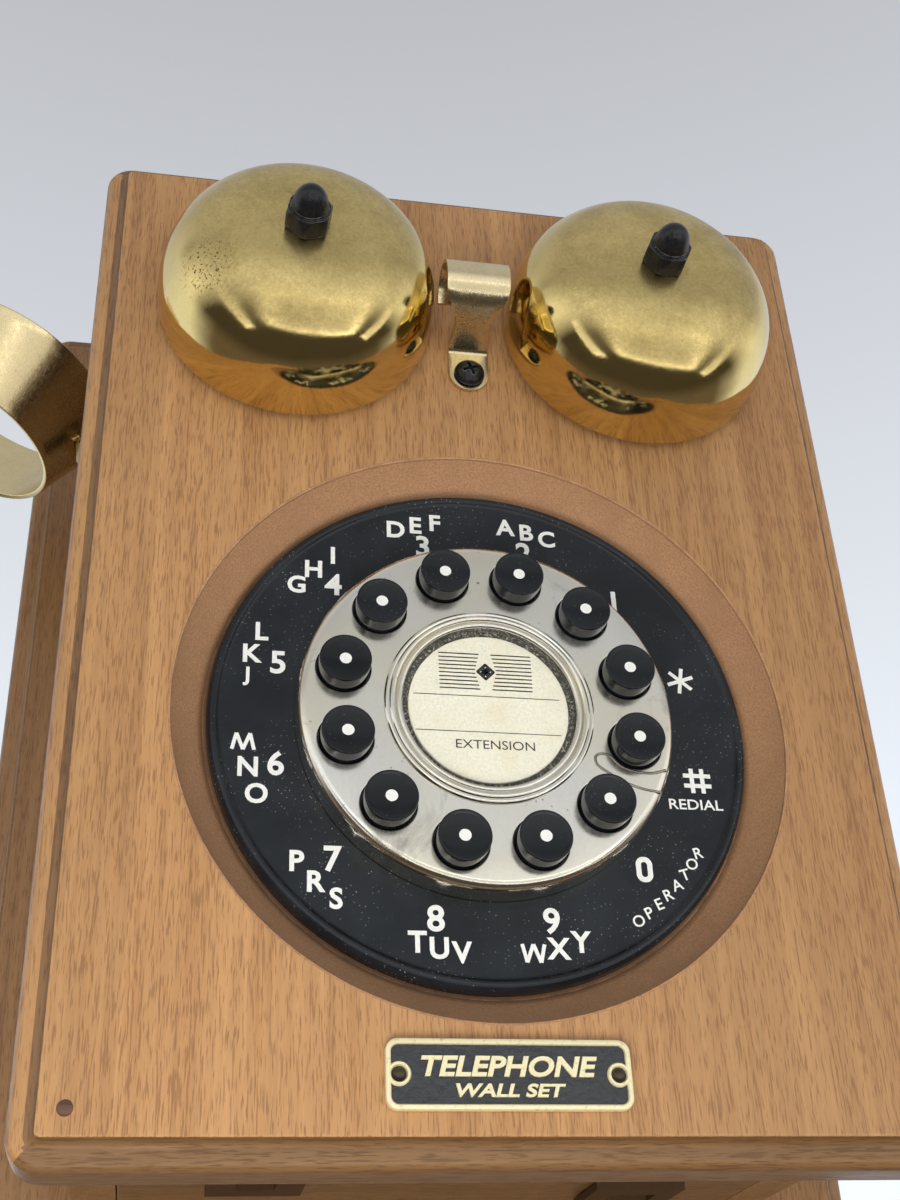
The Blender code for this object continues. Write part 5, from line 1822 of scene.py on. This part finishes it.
class TELEPHONE_OT_hidden_parts(Operator):
    """Finishes the sockets, the hanging plate and what the case holds"""

    bl_idname = "telephone.finish_hidden_parts"
    bl_label = "Inner Parts"

    def execute(self, context):
        rubber = plain_board("grey_rubber", (0.09, 0.09, 0.10), (0.16, 0.16, 0.17), 0.8)
        laminate = plain_board("brown_laminate", (0.30, 0.19, 0.07), (0.42, 0.30, 0.14), 0.5)
        cable = plain_board("grey_cable", (0.42, 0.42, 0.43), (0.55, 0.55, 0.56), 0.6)
        steel = plated_steel()
        black = matte_black()
        socket = plain_board("brown_socket", (0.060, 0.030, 0.012), (0.095, 0.048, 0.020), 0.6)
        finishes = (
            (
                steel,
                0.0002,
                (
                    "hook_bracket",
                    "hook_pivot_pin",
                    "hanging_plate",
                    "hanger_screw_left",
                    "hanger_screw_right",
                ),
            ),
            (steel, 0.0, ("hook_spring",)),
            (black, 0.0003, ("line_switch", "switch_plunger", "ringer_sounder")),
            (socket, 0.0003, ("handset_jack", "line_jack")), (rubber, 0.0, ("keypad_mat",)),
            (laminate, 0.0, ("keypad_board", "line_board")), (cable, 0.0, ("keypad_cable",)),
        )
        for material, edge, nodes in finishes:
            for node in nodes:
                dress(node, material, edge)
        return {"FINISHED"}


# ---------------------------------------------------------------- stage


def plane(name, centre, facing, width, height, material):
    """A flat stage piece whose front looks at a point."""
    bm = bmesh.new()
    bmesh.ops.create_grid(bm, x_segments=1, y_segments=1, size=0.5)
    mesh = bpy.data.meshes.new(name)
    bm.to_mesh(mesh)
    bm.free()
    mesh.materials.append(material)
    piece = bpy.data.objects.new(name, mesh)
    bpy.context.scene.collection.objects.link(piece)
    piece.location = centre
    direction = Vector(facing) - Vector(centre)
    piece.rotation_euler = direction.to_track_quat("Z", "Y").to_euler()
    piece.scale = (width, height, 1)
    return piece


def glow(name, middle, border, tint):
    """A softbox that glows more along its border than in its middle."""
    material = bpy.data.materials.new(name)
    material.use_nodes = True
    tree = material.node_tree
    tree.nodes.clear()
    nodes = Nodes(tree)
    x, y, _ = nodes.split(nodes.add("ShaderNodeTexCoord").outputs["Generated"])
    sides = [nodes.math("ABSOLUTE", nodes.minus(axis, 0.5)) for axis in (x, y)]
    far = nodes.math("MAXIMUM", *sides)
    strength = nodes.spread(far, 0.39, 0.43, middle, border)
    emission = nodes.add("ShaderNodeEmission", {"Color": tint, "Strength": strength})
    output = nodes.add("ShaderNodeOutputMaterial")
    nodes.feed(output.inputs["Surface"], emission.outputs[0])
    return material


class TELEPHONE_OT_stage(Operator):
    """Sets the pale floor, the soft light, the pale surroundings and the camera"""

    bl_idname = "telephone.set_stage"
    bl_label = "Stage"

    def execute(self, context):
        light = context.scene.telephone_light
        floor = plane("floor", (0, 0, -1.3), (0, 0, 1), 8, 8, paper_backdrop())
        floor.visible_glossy = False
        floor.visible_diffuse = False
        target = (0, FACE, 0)
        frame_glow = glow("window_glow", light.window * 0.32, light.window, (1.0, 0.985, 0.95))
        lights = [plane("window", (0.24, -1.35, -0.46), target, 1.70, 1.05, frame_glow)]
        side_glow = glow("side_glow", light.window * 0.4, light.window * 0.6, (1.0, 0.99, 0.96))
        lights.append(plane("left_strip", (-0.95, -0.95, -0.45), target, 0.22, 0.9, side_glow))
        lights.append(plane("right_strip", (1.25, -0.75, -0.40), target, 0.22, 0.9, side_glow))
        low_glow = glow("low_glow", light.fill, light.fill, (1.0, 0.97, 0.92))
        fill_light = plane("low_fill", (-0.10, -0.42, -0.40), (-0.03, FACE, -0.08), 0.26, 0.20, low_glow)
        fill_light.visible_glossy = False
        for piece in (*lights, fill_light):
            piece.visible_camera = False
        self.set_world(context)
        data = bpy.data.cameras.new("camera")
        data.lens = light.lens
        data.clip_start = 0.01
        camera = bpy.data.objects.new("camera", data)
        context.scene.collection.objects.link(camera)
        camera.location = light.camera_place
        camera.rotation_euler = light.camera_turn
        context.scene.camera = camera
        context.scene.view_settings.view_transform = "Standard"
        return {"FINISHED"}

    def set_world(self, context):
        """Pale behind, greyer overhead and dark below, with less strength in diffuse light."""
        world = bpy.data.worlds.new("pale_room")
        world.use_nodes = True
        nodes = Nodes(world.node_tree)
        background = world.node_tree.nodes["Background"]
        _, y, z = nodes.split(nodes.add("ShaderNodeTexCoord").outputs["Generated"])
        behind = nodes.mix((0.96, 1.02, 1.10), (0.505, 0.515, 0.545), nodes.spread(z, 0.25, 0.80))
        behind = nodes.mix((0.16, 0.13, 0.11), behind, nodes.spread(z, -0.45, -0.05))
        front = nodes.mix((0.07, 0.06, 0.05), (1.05, 1.06, 1.06), nodes.spread(z, -0.25, 0.10))
        front = nodes.mix(front, (0.66, 0.67, 0.68), nodes.spread(z, 0.24, 0.40))
        front = nodes.mix(front, (0.42, 0.42, 0.42), nodes.spread(z, 0.46, 0.53))
        front = nodes.mix(front, (0.56, 0.56, 0.57), nodes.spread(z, 0.56, 0.66))
        nodes.feed(background.inputs["Color"], nodes.mix(front, behind, nodes.spread(y, -0.15, 0.15)))
        scattered = nodes.add("ShaderNodeLightPath").outputs["Is Diffuse Ray"]
        nodes.feed(background.inputs["Strength"], nodes.spread(scattered, 0.0, 1.0, 1.0, 0.62))
        context.scene.world = world


# ---------------------------------------------------------------- panel and registration


OPERATORS = (
    TELEPHONE_OT_stage,
    TELEPHONE_OT_backboard,
    TELEPHONE_OT_front_panel,
    TELEPHONE_OT_number_ring,
    TELEPHONE_OT_dial_plate,
    TELEPHONE_OT_name_card,
    TELEPHONE_OT_keys,
    TELEPHONE_OT_bells,
    TELEPHONE_OT_scroll_clip,
    TELEPHONE_OT_nameplate,
    TELEPHONE_OT_hook,
    TELEPHONE_OT_crank,
    TELEPHONE_OT_hidden_parts,
)


class TELEPHONE_PT_pieces(Panel):
    """Lists the telephone's pieces in the order in which they are made."""

    bl_idname = "TELEPHONE_PT_pieces"
    bl_label = "Wall Crank Telephone"
    bl_space_type = "VIEW_3D"
    bl_region_type = "UI"
    bl_category = "Telephone"

    def draw(self, context):
        column = self.layout.column(align=True)
        for operator in OPERATORS:
            column.operator(operator.bl_idname)


SETTINGS = {
    "telephone_colours": TelephoneColours,
    "telephone_sizes": TelephoneSizes,
    "telephone_light": TelephoneLight,
}
CLASSES = (*SETTINGS.values(), *OPERATORS, TELEPHONE_PT_pieces)


def register():
    for entry in CLASSES:
        bpy.utils.register_class(entry)
    for name, group in SETTINGS.items():
        setattr(bpy.types.Scene, name, PointerProperty(type=group))


def unregister():
    for name in SETTINGS:
        delattr(bpy.types.Scene, name)
    for entry in reversed(CLASSES):
        bpy.utils.unregister_class(entry)


def main():
    register()
    for operator in OPERATORS:
        area, name = operator.bl_idname.split(".")
        getattr(getattr(bpy.ops, area), name)()


if __name__ == "__main__":
    main()
